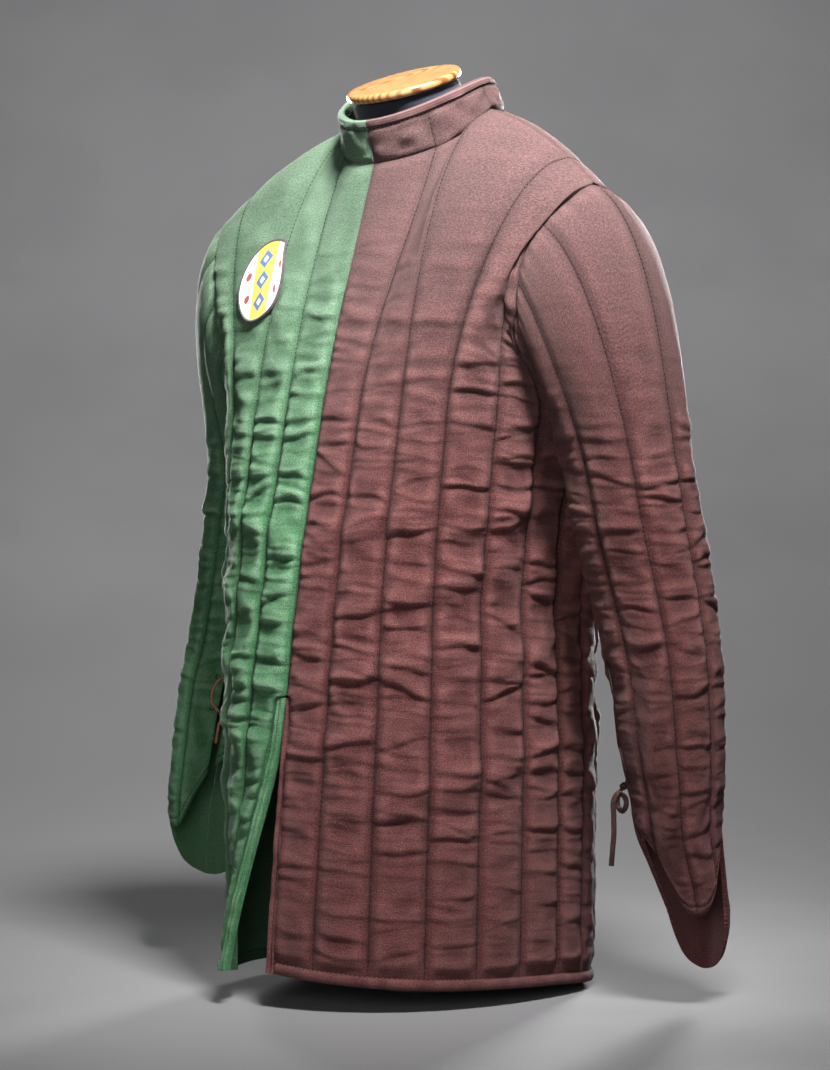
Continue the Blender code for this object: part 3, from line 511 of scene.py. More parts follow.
# armhole seam: top, down the front, under the arm, up the back, sixteen points
ARMHOLE = np.array((
    (0.230, -0.012, 0.777), (0.222, -0.045, 0.760), (0.206, -0.066, 0.738),
    (0.198, -0.079, 0.712), (0.194, -0.086, 0.684), (0.193, -0.086, 0.655),
    (0.196, -0.074, 0.628), (0.201, -0.045, 0.609), (0.204, 0.000, 0.602),
    (0.205, 0.050, 0.603), (0.205, 0.098, 0.612), (0.204, 0.128, 0.637),
    (0.203, 0.136, 0.665), (0.205, 0.120, 0.695), (0.210, 0.097, 0.727),
    (0.220, 0.058, 0.757),
))
# the way the cloth faces at points of the armhole
BODY_FACING = (
    (0, 0.25, 0.00, 0.97), (2, 0.45, -0.75, 0.48), (4, 0.35, -0.93, 0.10),
    (6, 0.75, -0.65, -0.05), (8, 1.00, 0.00, 0.00), (10, 0.90, 0.40, -0.05),
    (12, 0.35, 0.93, 0.00), (14, 0.35, 0.75, 0.55), (16, 0.25, 0.00, 0.97),
)
# the way each channel runs into the top edge
FRONT_ARRIVAL = (
    (0.0, 0.00, 0.30, 0.95), (1.0, -0.05, 0.42, 0.90), (2.0, -0.08, 0.93, 0.30),
    (2.67, 0.02, 0.96, 0.20), (3.33, 0.14, 0.97, 0.10), (4.0, 0.60, 0.45, 0.64),
    (4.67, 0.52, 0.24, 0.80), (5.33, 0.28, 0.10, 0.95), (6.0, 0.08, 0.00, 1.00),
)
BACK_ARRIVAL = (
    (6.0, 0.08, 0.00, 1.00), (6.67, 0.22, -0.04, 0.97), (7.33, 0.38, -0.22, 0.90),
    (8.0, 0.36, -0.50, 0.80), (8.67, 0.24, -0.97, -0.06), (9.33, 0.06, -0.98, -0.08),
    (10.0, 0.08, -0.97, -0.14), (11.0, 0.04, -0.55, 0.80), (12.0, 0.00, -0.40, 0.92),
)


def quarter(share, half_x, half_y, n):
    """Point a share of the way along a quarter superellipse, from the y axis."""
    angle = np.linspace(0, math.pi / 2, 240)
    xs, ys = half_x * np.sin(angle) ** (2 / n), half_y * np.cos(angle) ** (2 / n)
    run = np.insert(np.cumsum(np.hypot(np.diff(xs), np.diff(ys))), 0, 0)
    return np.interp(share, run / run[-1], xs), np.interp(share, run / run[-1], ys)


def hem_z(c):
    return float(row_at(HEM_HEIGHTS, c)[0])


def skirt_point(side, c, z):
    """Point of a half at height z, c channels from centre front."""
    width, right_width, front, back, n_left, n_right, n_back = row_at(SECTIONS, z)
    width = width if side > 0 else right_width
    if c <= CHANNELS:
        x, y = quarter(c / CHANNELS, width, front, n_left if side > 0 else n_right)
        y = -y
    else:
        x, y = quarter((2 * CHANNELS - c) / CHANNELS, width, back, n_back)
    swing = float(blend(0, 1, (SLIT_TOP - z) / SLIT_TOP) * blend(0, 1, 1 - c / 1.5))
    if side < 0:
        x, y = x + SLIT_SWING[0] * swing, y + SLIT_SWING[1] * swing
    return np.array([side * x, y, z])


def neckline(c):
    """Angle and point of the neckline, from centre front (0) to centre back (12)."""
    if c <= NECK_C:
        turn = c / NECK_C
        angle = turn * NECK_SIDE_ANGLE
        z = NECK_FRONT_Z + (NECK_SIDE_Z - NECK_FRONT_Z) * turn**2
    else:
        turn = (2 * CHANNELS - c) / NECK_C
        angle = math.pi - turn * (math.pi - NECK_SIDE_ANGLE)
        z = NECK_BACK_Z + (NECK_SIDE_Z - NECK_BACK_Z) * turn**2
    return angle, np.array([NECK_RX * math.sin(angle), NECK_Y - NECK_RY * math.cos(angle), z])


def armhole(k):
    """Point of the armhole seam, on a soft closed curve through its sixteen points."""
    return curve_through(np.arange(-3, 20), ARMHOLE[np.arange(-3, 20) % 16], k % 16)


def top_point(c):
    """Point of the top edge: neckline, shoulder seam or armhole."""
    near = min(c, 2 * CHANNELS - c)
    if near <= NECK_C:
        return neckline(c)[1]
    if near <= SHOULDER_C + 1e-6:
        share = (near - NECK_C) / (SHOULDER_C - NECK_C)
        start, end = neckline(NECK_C)[1], ARMHOLE[0]
        middle = (start + end) / 2 + np.array([0.002, -0.001, 0.010])
        return (
            (1 - share) ** 2 * start
            + 2 * share * (1 - share) * (2 * middle - (start + end) / 2)
            + share**2 * end
        )
    return armhole((c - SHOULDER_C) * 3)


def body_point(side, c, v):
    """v runs 0 to 1 from hem to armpit height, and 1 to 2 from there to the top edge."""
    if v <= 1:
        return skirt_point(side, c, hem_z(c) + (JOIN_Z - hem_z(c)) * v)
    start = skirt_point(1, c, JOIN_Z)
    leave = unit(start - skirt_point(1, c, JOIN_Z - 0.02))
    end = top_point(c)
    arrive = unit(row_at(FRONT_ARRIVAL if c <= CHANNELS else BACK_ARRIVAL, c))
    reach = np.linalg.norm(end - start)
    t = v - 1
    k0, k1, k2, k3 = hermite(t)
    pull = 0.9 if c <= CHANNELS else 0.65
    point = k0 * start + k1 * leave * reach + k2 * end + k3 * arrive * reach * pull
    loose = 0.034 * math.exp(-(((c - 8.0) / 0.9) ** 2)) * max(math.sin(math.pi * t), 0) ** 1.3
    return (point + loose * np.array([0.05, 1.0, 0.0])) * np.array([side, 1, 1])


def grid_normals(points):
    """Unit normals of a grid [column, row], from the faces round each point."""
    faces = np.cross(points[1:, 1:] - points[:-1, :-1], points[:-1, 1:] - points[1:, :-1])
    normals = np.zeros_like(points)
    for i, j in ((0, 0), (0, 1), (1, 0), (1, 1)):
        normals[i : i + faces.shape[0], j : j + faces.shape[1]] += faces
    return unit(normals)


def facing_at(table, k):
    values = np.asarray(table)
    return unit(np.array([np.interp(k % 16, values[:, 0], values[:, i]) for i in (1, 2, 3)]))


def resampled(grid, columns, rows, wanted_columns, wanted_rows):
    """A grid read at other columns and rows, on soft curves."""
    across = curve_through(columns, grid, wanted_columns)
    return np.swapaxes(curve_through(rows, np.swapaxes(across, 0, 1), wanted_rows), 0, 1)


def pulled_in(points, edge, distance):
    """The grid with one edge drawn back along its surface."""
    points = points.copy()
    if edge in ("first", "last"):
        grid = points if edge == "first" else points[::-1]
    else:
        grid = np.swapaxes(points, 0, 1)
        grid = grid if edge == "bottom" else grid[::-1]
    step = grid[1] - grid[0]
    distance = np.asarray(distance)[..., None] if np.ndim(distance) else distance
    reach = distance / np.maximum(np.linalg.norm(step, axis=1, keepdims=True), 1e-9)
    # the next points give way too, so that none is passed
    for index, share in ((0, 1.0), (1, 0.55), (2, 0.2)):
        grid[index] += step * reach * share
    return points


def trimmed(outer, inner, edges):
    """Both faces of a wall, drawn back by half a gap along the edges named."""
    for edge in edges:
        outer, inner = pulled_in(outer, edge, GAP / 2), pulled_in(inner, edge, GAP / 2)
    return outer, inner


def half_base(side):
    """Stitched face of a half: points, normals and lengths up each column, fine grid."""
    coarse = np.array([[body_point(side, c, v) for v in COARSE_V] for c in COARSE_C])
    normals = grid_normals(coarse) * side
    normals *= np.sign(-normals[0, 0, 1])
    neck, tip, last = round(NECK_C * 3), round(SHOULDER_C * 3), len(COARSE_C) - 1
    for i in range(tip + 1, last - tip):
        normals[i, -1] = facing_at(BODY_FACING, i - tip) * [side, 1, 1]
    normals[[0, -1], :, 0] = 0
    for i in range(neck, tip + 1):
        normals[i, -1] = normals[last - i, -1] = normals[i, -1] + normals[last - i, -1]
    points = resampled(coarse, COARSE_C, COARSE_V, FINE_C, FINE_V)
    normals = unit(resampled(unit(normals), COARSE_C, COARSE_V, FINE_C, FINE_V))
    # the top edge is exact, and the rows below it go over to it
    exact = np.array([top_point(c) for c in FINE_C]) * np.array([side, 1, 1])
    share = blend(1.75, 2.0, FINE_V)[None, :, None]
    points += (exact - points[:, -1])[:, None] * share
    return points, normals, runs(points, 1)


def creases(x, run, amount, seed, pitch=CREASE_PITCH):
    """Rise of the creases across each channel: a valley with a slack roll above it."""
    rng = np.random.default_rng(seed)
    scale = pitch / CREASE_PITCH
    channels, count = int(round(x[-1] - x[0])), int(run.max() / pitch) + 4
    places = (np.arange(count) + rng.uniform(-0.46, 0.46, (channels + 1, count))) * pitch
    valley, roll = np.zeros_like(run), np.zeros_like(run)
    for i in range(channels):
        cut = slice(*np.searchsorted(x, (x[0] + i - 1e-6, x[0] + i + 1 + 1e-6)))
        u, s = (x[cut] - x[0] - i)[:, None], run[cut]
        for k in range(count):
            depth, width = 0.18 + 0.70 * rng.uniform() ** 1.3, scale * rng.uniform(0.0016, 0.0028)
            reach = scale * (0.0044 + 0.0036 * depth)
            bow, phase = rng.normal(0, 0.0018), rng.uniform(0, 6.28)
            skew = rng.choice([0, 0, 0, 0, 0, 0, 0, 1, -1])
            end = places[i + 1, int(np.clip(k + skew, 0, count - 1))]
            faded = rng.choice([0.0, 0.0, 0.95]) * (u if rng.random() < 0.5 else 1 - u)
            depth = depth * (1 - faded)
            away = s - places[i, k] * (1 - u) - end * u - bow * 4 * u * (1 - u)
            away = away - 0.0007 * np.sin(9 * u + phase)
            above, below = np.maximum(away, 0) / reach, np.maximum(-away, 0) / (0.004 * scale)
            valley[cut] = np.maximum(valley[cut], depth * np.exp(-abs(away) / width))
            bulge = above * np.exp(1 - above) + 0.4 * below * np.exp(1 - below)
            roll[cut] = np.maximum(roll[cut], depth * bulge)
    return amount * scale * (CREASE_ROLL * roll * (1 - 0.85 * valley) - CREASE_DEPTH * valley)


def pillow(x):
    """Padding between two lines of stitching, 0 to 1."""
    u = np.abs(2 * (x - np.floor(x)) - 1)
    return 0.7 * (1 - u**6) ** 1.5 + 0.3 * (1 - u**2)


def creased(x, length, amount, seed):
    """Rise of broad and fine creases together, least along the stitching."""
    rise = creases(x - x[0], length, amount, seed)
    rise = rise + creases(x - x[0], length, 0.15 + 0.55 * amount, 200 + seed, FINE_PITCH)
    rise = rise * (0.35 + 0.65 * pillow(x)[:, None])
    return rise


# the broad drag folds of waist and skirt: channel, height, half span, rise
FOLDS = (
    (1.5, 0.455, 1.3, 0.0040), (3.2, 0.400, 1.5, 0.0045), (4.6, 0.470, 1.2, 0.0045),
    (2.4, 0.325, 1.6, 0.0040), (4.9, 0.330, 1.2, 0.0040), (3.6, 0.215, 1.8, 0.0045),
    (1.2, 0.250, 1.2, 0.0035), (7.5, 0.420, 1.5, 0.0040), (9.8, 0.370, 1.6, 0.0040),
    (8.6, 0.260, 1.6, 0.0040),
)


def fold_rise(c, z):
    return sum(
        rise * np.exp(-(((c - at) / span) ** 2) - ((z - height - 0.012 * (c - at)) / 0.017) ** 2)
        for at, height, span, rise in FOLDS
    )


def settled(points, held, taut, frames=12):
    """The grid after Blender's cloth has eased its extra length into puckers."""
    columns, rows = points.shape[:2]
    at = np.arange(columns * rows).reshape(columns, rows)
    faces = np.stack([at[:-1, :-1], at[1:, :-1], at[1:, 1:], at[:-1, 1:]], axis=-1).reshape(-1, 4)
    mesh = bpy.data.meshes.new("settling")
    mesh.from_pydata(points.reshape(-1, 3).tolist(), [], faces.tolist())
    cloth = placed("settling", mesh)
    for name, weights in (("held", held), ("taut", taut)):
        group = cloth.vertex_groups.new(name=name)
        levels = np.round(weights.reshape(-1), 2)
        for level in np.unique(levels[levels > 0]):
            group.add(np.nonzero(levels == level)[0].tolist(), float(level), "REPLACE")
    settle = cloth.modifiers.new("settle", "CLOTH")
    rules = settle.settings
    rules.quality, rules.mass, rules.air_damping = 4, 0.15, 3.0
    rules.tension_stiffness = rules.compression_stiffness = 12.0
    rules.shear_stiffness, rules.bending_stiffness = 4.0, 0.1
    rules.tension_damping = rules.compression_damping = 3.0
    rules.vertex_group_mass, rules.pin_stiffness = "held", 1.0
    rules.vertex_group_shrink, rules.shrink_max, rules.shrink_min = "taut", 0.0, -CLOTH_EASE
    rules.use_pressure, rules.uniform_pressure_force = True, CLOTH_PRESSURE
    rules.effector_weights.gravity = 0.0
    settle.collision_settings.use_collision = False
    settle.point_cache.frame_start, settle.point_cache.frame_end = 1, frames
    for frame_number in range(1, frames + 1):
        bpy.context.scene.frame_set(frame_number)
    moved = cloth.evaluated_get(bpy.context.evaluated_depsgraph_get()).to_mesh()
    out = np.empty(columns * rows * 3)
    moved.vertices.foreach_get("co", out)
    bpy.data.objects.remove(cloth, do_unlink=True)
    bpy.data.meshes.remove(mesh)
    bpy.context.scene.frame_set(1)
    slack = (out.reshape(columns, rows, 3) - points) * (held < 1)[..., None]
    for axis in (0, 1):
        slack = (np.roll(slack, 1, axis) + 2 * slack + np.roll(slack, -1, axis)) / 4
    return points + slack * (held < 1)[..., None]


def capped(points, start, most):
    """The points, none of them moved further than most from its start."""
    away = points - start
    size = np.linalg.norm(away, axis=2, keepdims=True)
    return start + away * np.minimum(1.0, most / np.maximum(size, 1e-9))


def divided(steps, parts):
    """The steps, each cut into so many parts."""
    last = len(steps) - 1
    return np.interp(np.linspace(0, last, last * parts + 1), np.arange(last + 1), steps)


def crest_of(points, base, normals):
    """0 in a crease to 1 on a roll, against the cloth just round it."""
    height = ((points - base) * normals).sum(axis=2)
    near = height
    for axis in (0, 1):
        near = sum(np.roll(near, shift, axis) for shift in range(-4, 5)) / 9
    return np.clip(0.5 + (height - near) / 0.005, 0, 1)


def padded_wall(name, outer, inner, uv, crest, material, node):
    """Closed wall of a fine outer grid over an inner grid of half as many steps."""
    at = np.arange(outer[..., 0].size).reshape(outer.shape[:2])
    low = np.arange(inner[..., 0].size).reshape(inner.shape[:2]) + at.size

    def quads(g):
        return np.stack([g[:-1, :-1], g[1:, :-1], g[1:, 1:], g[:-1, 1:]], axis=-1).reshape(-1, 4)

    def edge_loop(g):
        return np.concatenate([g[:-1, 0], g[-1, :-1], g[::-1, -1][:-1], g[0, ::-1][:-1]])

    faces = quads(at).tolist() + quads(low)[:, ::-1].tolist()
    fine, coarse = edge_loop(at), edge_loop(low)
    for i in range(len(coarse)):
        k = (i + 1) % len(coarse)
        faces.append(
            (fine[2 * i], coarse[i], coarse[k], fine[(2 * i + 2) % len(fine)], fine[2 * i + 1])
        )
    points = np.concatenate([outer.reshape(-1, 3), inner.reshape(-1, 3)])
    made = piece(name, points, [tuple(map(int, f)) for f in faces], material, node, sharp=65)
    flat = np.concatenate([uv.reshape(-1, 2), uv[::2, ::2].reshape(-1, 2)])
    painted(made, flat, np.concatenate([crest.reshape(-1), np.full(low.size, LINING_CREST)]))
    return made


def linen(deep, shade, pale, nap, painted_top_light):
    """Napped linen: plain weave, heathered yarn, painted highlights on the rolls and over the shoulders,
    painted shade in the creases, along the quilting lines and towards the hem.
    """

    def build():
        place = vector("UV")
        u, v, _ = parts_of(place)
        drift = noise(place, 90, 3)
        warp = ((u + drift * 0.0012) * (2 * math.pi / 0.00125)).maths("SINE")
        weft = ((v + drift * 0.0012) * (2 * math.pi / 0.00115)).maths("SINE")
        weave = warp * weft * 0.5 + 0.5
        yarn = noise(stretched(place, (160, 900, 1)), 1.0, 3, 0.65)
        cross = noise(stretched(place, (900, 160, 1)), 1.0, 3, 0.65)
        fluff = noise(place, 760, 4, 0.8)
        specks = noise(place, 1700, 2, 0.6)
        grain = noise(place, 640, 1, 0.5)
        fade = noise(place, 11, 4, 0.6)
        crest = shader("ShaderNodeAttribute", out=2, attribute_name="crest")
        heather = yarn * 0.40 + cross * 0.25 + fluff * 0.35
        tone = mixed(heather.ramp(0.40, 0.58), deep, shade)
        # painted highlight: paler on the tops of the rolls, where the light catches them
        tone = mixed((crest * 0.60 + fluff * 0.40).ramp(0.42, 0.74, 0.0, 0.72), tone, pale)
        tone = mixed(fade.ramp(0.45, 0.75, 0.0, 0.22), tone, pale)
        # painted top light: paler and greyer towards the shoulders, as if lit more strongly from above
        height = parts_of(vector("Object"))[2]
        tone = mixed(height.ramp(0.42, 0.82, 0.0, 0.42), tone, painted_top_light)
        # painted shade: darker and more saturated towards the hem, where less light falls
        tone = mixed(height.ramp(0.12, 0.52, 0.26, 0.0), tone, tuple(1.7 * a for a in deep))
        tone = mixed(grain.ramp(0.36, 0.62, 0.46, 0.0), tone, deep)
        tone = mixed(specks.ramp(0.56, 0.72, 0.0, 0.34), tone, nap)
        # painted shade: darker down in the creases
        tone = mixed(crest.ramp(0.0, 0.34, 0.62, 0.0), tone, tuple(0.45 * a for a in deep))
        # painted shade: darker in the groove along each quilting line
        line = shader("ShaderNodeMath", {0: u / CHANNEL_WIDTH + 0.5, 1: 1.0}, operation="FRACT")
        near = (line - 0.5).maths("ABSOLUTE")
        tone = mixed(near.ramp(0.004, 0.018, 0.25, 0.0), tone, tuple(0.35 * a for a in deep))
        relief = weave * 0.5 + heather * 1.1 + fluff * 0.6
        return {
            "Base Color": tone,
            "Roughness": heather.ramp(0.3, 0.7, 0.80, 0.97),
            "Normal": bump(relief, 0.0010, 1.0),
        }

    return build


# ------------------------------------------------ grids of the two halves
CLOTH_EASE, CLOTH_PRESSURE = 0.018, 0.8
COARSE_C = np.arange(0, 2 * CHANNELS + 1e-6, 1 / 3)
FRONT_HIGH = JOIN_Z - HEM_HEIGHTS[0][1]
HEM_V, SLIT_V = (HEM_BAND + 2 * GAP) / FRONT_HIGH, (SLIT_TOP - HEM_HEIGHTS[0][1]) / FRONT_HIGH
COARSE_V = np.concatenate([np.linspace(HEM_V, 1, 18), 1 + np.linspace(0, 1, 10)[1:]])
FINE_C = np.linspace(0, 2 * CHANNELS, 20 * CHANNELS + 1)
FINE_V = np.concatenate([np.linspace(HEM_V, 1, 97), 1 + np.linspace(0, 1, 35)[1:]])
# name, sheen, and colours: deep, shade, pale, nap and the painted top light, a grey wash that stands for
# strong light over the shoulders
LINENS = {
    -1: ("green_linen_cloth", (0.80, 1.0, 0.82), (
        (0.012, 0.056, 0.019), (0.048, 0.168, 0.063), (0.212, 0.368, 0.223), (0.56, 0.70, 0.56),
        (0.170, 0.165, 0.157),
    )),
    1: ("brown_linen_cloth", (1.0, 0.86, 0.84), (
        (0.027, 0.0050, 0.0050), (0.098, 0.0225, 0.0215), (0.228, 0.086, 0.081), (0.56, 0.40, 0.38),
        (0.100, 0.092, 0.090),
    )),
}
CLOTH = {
    side: finish(
        name, linen(*colours), Sheen_Weight=0.05, Sheen_Roughness=0.40, Sheen_Tint=sheen,
        Specular_IOR_Level=0.2,
    )
    for side, (name, sheen, colours) in LINENS.items()
}
CLOSE_C, CLOSE_V = divided(FINE_C, 2), divided(FINE_V, 3)
FINE, CLOSE = (FINE_C, FINE_V), (CLOSE_C, CLOSE_V)
centre = body_point(-1, BADGE_C, BADGE_V)
BADGE_WIDE = np.linalg.norm(body_point(-1, BADGE_C + 0.1, BADGE_V) - centre) / 0.1
BADGE_HIGH = np.linalg.norm(body_point(-1, BADGE_C, BADGE_V + 0.05) - centre) / 0.05
STITCH_LINES, STITCH_OUT, LINE_SINK = {-1: [], 1: []}, 0.00025, 0.0004
# how far the settling may move a panel, and the width of the channel beside an opening
PANEL_MOVES, EDGE_CHANNEL = 0.004, 0.046


def drawn_back(points, x, share):
    """The grid with its first channel narrowed, row by row, to leave room at its edge."""
    out = points.copy()
    for j, part in enumerate(share):
        place = np.where(x - x[0] < 1, x + part * (1 - (x - x[0])), x)
        for axis in range(3):
            out[:, j, axis] = np.interp(place, x, points[:, j, axis])
    return out


def puckered(start, base, normals, run, slack, most, rim, fine, close):
    """The settled cloth, its outward way, the face under it and its run, on closer grids."""
    held = np.zeros(run.shape)
    held[::10] = 1.0
    held[:, [0, -1]] = 1.0
    held[run[:, -1:] - run < rim] = 1.0
    shaped = start
    shaped = capped(settled(start, held, 1 - slack), start, most)
    shaped, out_way, under, length = (
        resampled(grid, *fine, *close) for grid in (shaped, normals, base, run[..., None])
    )
    return shaped, unit(out_way), under, length[..., 0]


def cloth_uv(x, length):
    """Across and along the cloth, in metres."""
    return np.stack([np.broadcast_to(x[:, None] * CHANNEL_WIDTH, length.shape), length], axis=2)


PANEL_NORMALS = {}
for side, half in SIDES:
    base, normals, run = half_base(side)
    PANEL_NORMALS[side] = normals
    z = base[..., 2]
    amount = blend(0.78, 0.62, z) * (0.5 + 0.5 * blend(0.02, 0.24, z))
    height = PUFF_WAIST + (PUFF_CHEST - PUFF_WAIST) * blend(0.95, 1.5, FINE_V)
    plump = pillow(FINE_C)[:, None]
    ends = blend(0.0, 0.03, np.minimum(FINE_V - FINE_V[0], 2.0 - FINE_V))
    start = base + normals * ((height * plump + fold_rise(FINE_C[:, None], z)) * ends)[..., None]
    close, out_way, under, length = puckered(
        start, base, normals, run, amount, PANEL_MOVES, 0, FINE, CLOSE
    )
    z = under[..., 2]
    amount = (0.16 + 0.84 * blend(0.76, 0.62, z)) * (0.5 + 0.5 * blend(0.03, 0.26, z))
    # more beside the armhole, where the arm's weight draws on the cloth
    beside = 0.55 * np.exp(-(((CLOSE_C[:, None] - 4.3) / 0.9) ** 2))
    amount = amount + beside * blend(0.78, 0.70, z) * blend(0.58, 0.64, z)
    rise = creased(CLOSE_C, length, amount, 11 + side)
    rise = rise * blend(0.0, 0.03, np.minimum(CLOSE_V - CLOSE_V[0], 2.0 - CLOSE_V))
    rise[::20] -= LINE_SINK
    close = close + out_way * rise[..., None]
    if side < 0:
        # the badge holds the padding down
        off = np.hypot(
            (CLOSE_C[:, None] - BADGE_C) * BADGE_WIDE / (BADGE_HALF_WIDTH + 0.003),
            (CLOSE_V - BADGE_V) * BADGE_HIGH / (BADGE_HALF_HEIGHT + 0.003),
        )
        over = np.maximum(((close - under) * out_way).sum(axis=2) - (BADGE_LIFT - 0.0016), 0)
        close -= out_way * (over * blend(1.12, 0.98, off))[..., None]
    uv = cloth_uv(CLOSE_C, length)
    crest = crest_of(close, under, out_way)
    lining = (under - out_way * WALL)[::2, ::2]
    slit_share = (SLIT_BAND + 2 * GAP) / EDGE_CHANNEL
    slit_share = slit_share * (1 - blend(SLIT_V + 0.004, SLIT_V + 0.0075, CLOSE_V))
    for name, cut, half_cut in (
        ("front", slice(0, 20 * CHANNELS + 1), slice(0, 10 * CHANNELS + 1)),
        ("back", slice(20 * CHANNELS, None), slice(10 * CHANNELS, None)),
    ):
        outer, inner = close[cut], lining[half_cut]
        if name == "front":
            outer = drawn_back(outer, CLOSE_C[cut], slit_share)
            inner = drawn_back(inner, CLOSE_C[cut][::2], slit_share[::2])
        outer, inner = trimmed(outer, inner, ("first", "last", "top"))
        panel = padded_wall(
            f"{name}_{half}_quilted", outer, inner, uv[cut], crest[cut], CLOTH[side], f"{name}_{half}"
        )
    # down each quilting line, then on both sides of the side seam
    seam = 20 * CHANNELS
    for column in [c for c in range(20, 2 * seam, 20) if c != seam] + [seam - 1, seam + 1]:
        STITCH_LINES[side].append(close[column, 1:-1] + out_way[column, 1:-1] * STITCH_OUT)

# ================================================================ hems and slit edges
# The cloth is turned over its edge and stitched down, which makes a plump roll with a
# groove above it. The front slit has the same roll up both sides.
BAND_CUT, BAND_OVER, SLIT_GROOVE, HEM_GROOVE = 0.020, 0.0014, 0.0022, 0.0011
ROLL_SECTION = (
    (-0.0034, 0.02), (-0.0034, 0.98), (0.0006, 1.00), (0.0016, 0.96), (0.0026, 0.86), (0.0034, 0.68),
    (0.0036, 0.50), (0.0034, 0.32), (0.0028, 0.16), (0.0018, 0.05), (0.0006, 0.0),
)
# two ridges, drawn in between by their stitching
SLIT_SECTION = (
    (-0.0034, 0.02), (-0.0034, 0.98), (0.0010, 1.00), (0.0026, 0.92), (0.0033, 0.80), (0.0024, 0.68),
    (0.0012, 0.60), (0.0026, 0.50), (0.0038, 0.34), (0.0030, 0.14), (0.0008, 0.0),
)


def rolled_edge(name, path, out_way, along, seed, material, node, section=ROLL_SECTION, lump=0.00035):
    """Plump roll: its section lies in the plane of out_way and along at each point."""
    rng = np.random.default_rng(seed)
    run = runs(path)
    steps = np.arange(0, run[-1] + 0.02, 0.009)
    lumps = curve_through(steps, rng.uniform(-1, 1, len(steps)), run)
    points, uv, crest = [], [], []
    for i in range(len(path)):
        for out, up in section:
            swell = lump * lumps[i] * (out > 0)
            points.append(path[i] + out_way[i] * (out + swell) + along[i] * up)
            uv.append((0.5 * CHANNEL_WIDTH + (up - 0.5) * 0.010 + (out < 0) * 0.0035, run[i]))
            # crest for the linen: a painted highlight on the outer face of the roll, a little painted shade
            # on the rest
            crest.append(0.28 + 0.3 * (out > 0.002) + 0.12 * lumps[i])
    made = piece(name, points, loft(len(path), len(section)), material, node, sharp=65)
    painted(made, uv, np.clip(crest, 0, 1))
    return made


for side, half in SIDES:
    low = np.array([body_point(side, c, 0.0) for c in COARSE_C])
    low = curve_through(COARSE_C, low, CLOSE_C)
    low = low[CLOSE_C > (SLIT_BAND + 4 * GAP) / EDGE_CHANNEL]
    low[-1] -= unit(low[-1] - low[-2]) * GAP / 2
    level = curve_through(FINE_C, PANEL_NORMALS[side][:, 0], CLOSE_C)[-len(low):]
    level = unit(level * np.array([1, 1, 0]))
    rise = np.tile([0, 0, HEM_BAND + BAND_OVER], (len(low), 1))
    hem = rolled_edge(f"hem_{half}_roll", low, level, rise, 5 + side, CLOTH[side], f"hem_{half}")

    rows = np.linspace(0, SLIT_V + 0.004, 90)
    edge = np.array([body_point(side, 0, v) for v in rows])
    inward = unit(np.array([body_point(side, 0.3, v) for v in rows]) - edge)
    across = unit(np.cross(inward, [0, 0, side]))
    across *= np.where(across[:, 1:2] > 0, -1, 1)
    band = rolled_edge(
        f"slit_band_{half}_roll", edge + inward * GAP, across, inward * (SLIT_BAND + BAND_OVER), 8 + side,
        CLOTH[side], f"slit_band_{half}", SLIT_SECTION, 0.0007,
    )
    STITCH_LINES[side].append((edge + inward * (SLIT_BAND * 1.13) + across * SLIT_GROOVE)[2:])
    STITCH_LINES[side].append(low + level * HEM_GROOVE + np.array([0, 0, HEM_BAND + BAND_OVER]))

# ============================================================================ collar
# A low stand collar in two halves, quilted upright, its top edge turned over into a
# roll. The halves meet over the centre front seam and at the nape.
COLLAR_WALL, COLLAR_CUT, COLLAR_HEIGHT = 0.0052, 0.052, 0.045
# upper edge: half width, centre, half depth, height in front and rise to the nape
COLLAR_RX, COLLAR_Y, COLLAR_RY, COLLAR_Z, COLLAR_RISE = 0.0745, -0.005, 0.0735, 0.852, 0.049
ROLL_FOOT, ROLL_STITCH = 0.76, 0.778
COLLAR_STEPS = np.linspace(0, NECK_C, 41)
ROLL_UP = (ROLL_STITCH, 0.80, 0.825, 0.855, 0.885, 0.915, 0.945, 0.97, 0.99, 1.0)
COLLAR_UP = np.concatenate([np.linspace(0, ROLL_FOOT, 17), ROLL_UP])


def collar_point(c, up):
    angle, low = neckline(c)
    lift = (1 - math.cos(min(1.4 * angle, math.pi))) / 2
    high = np.array([
        COLLAR_RX * math.sin(angle), COLLAR_Y - COLLAR_RY * math.cos(angle), COLLAR_Z + COLLAR_RISE * lift
    ])
    start = low + np.array([0, 0, 2 * GAP])
    middle = (start + high) / 2 + 0.0015 * np.array([math.sin(angle), -math.cos(angle), 0])
    return (1 - up) ** 2 * start + 2 * up * (1 - up) * middle + up**2 * high


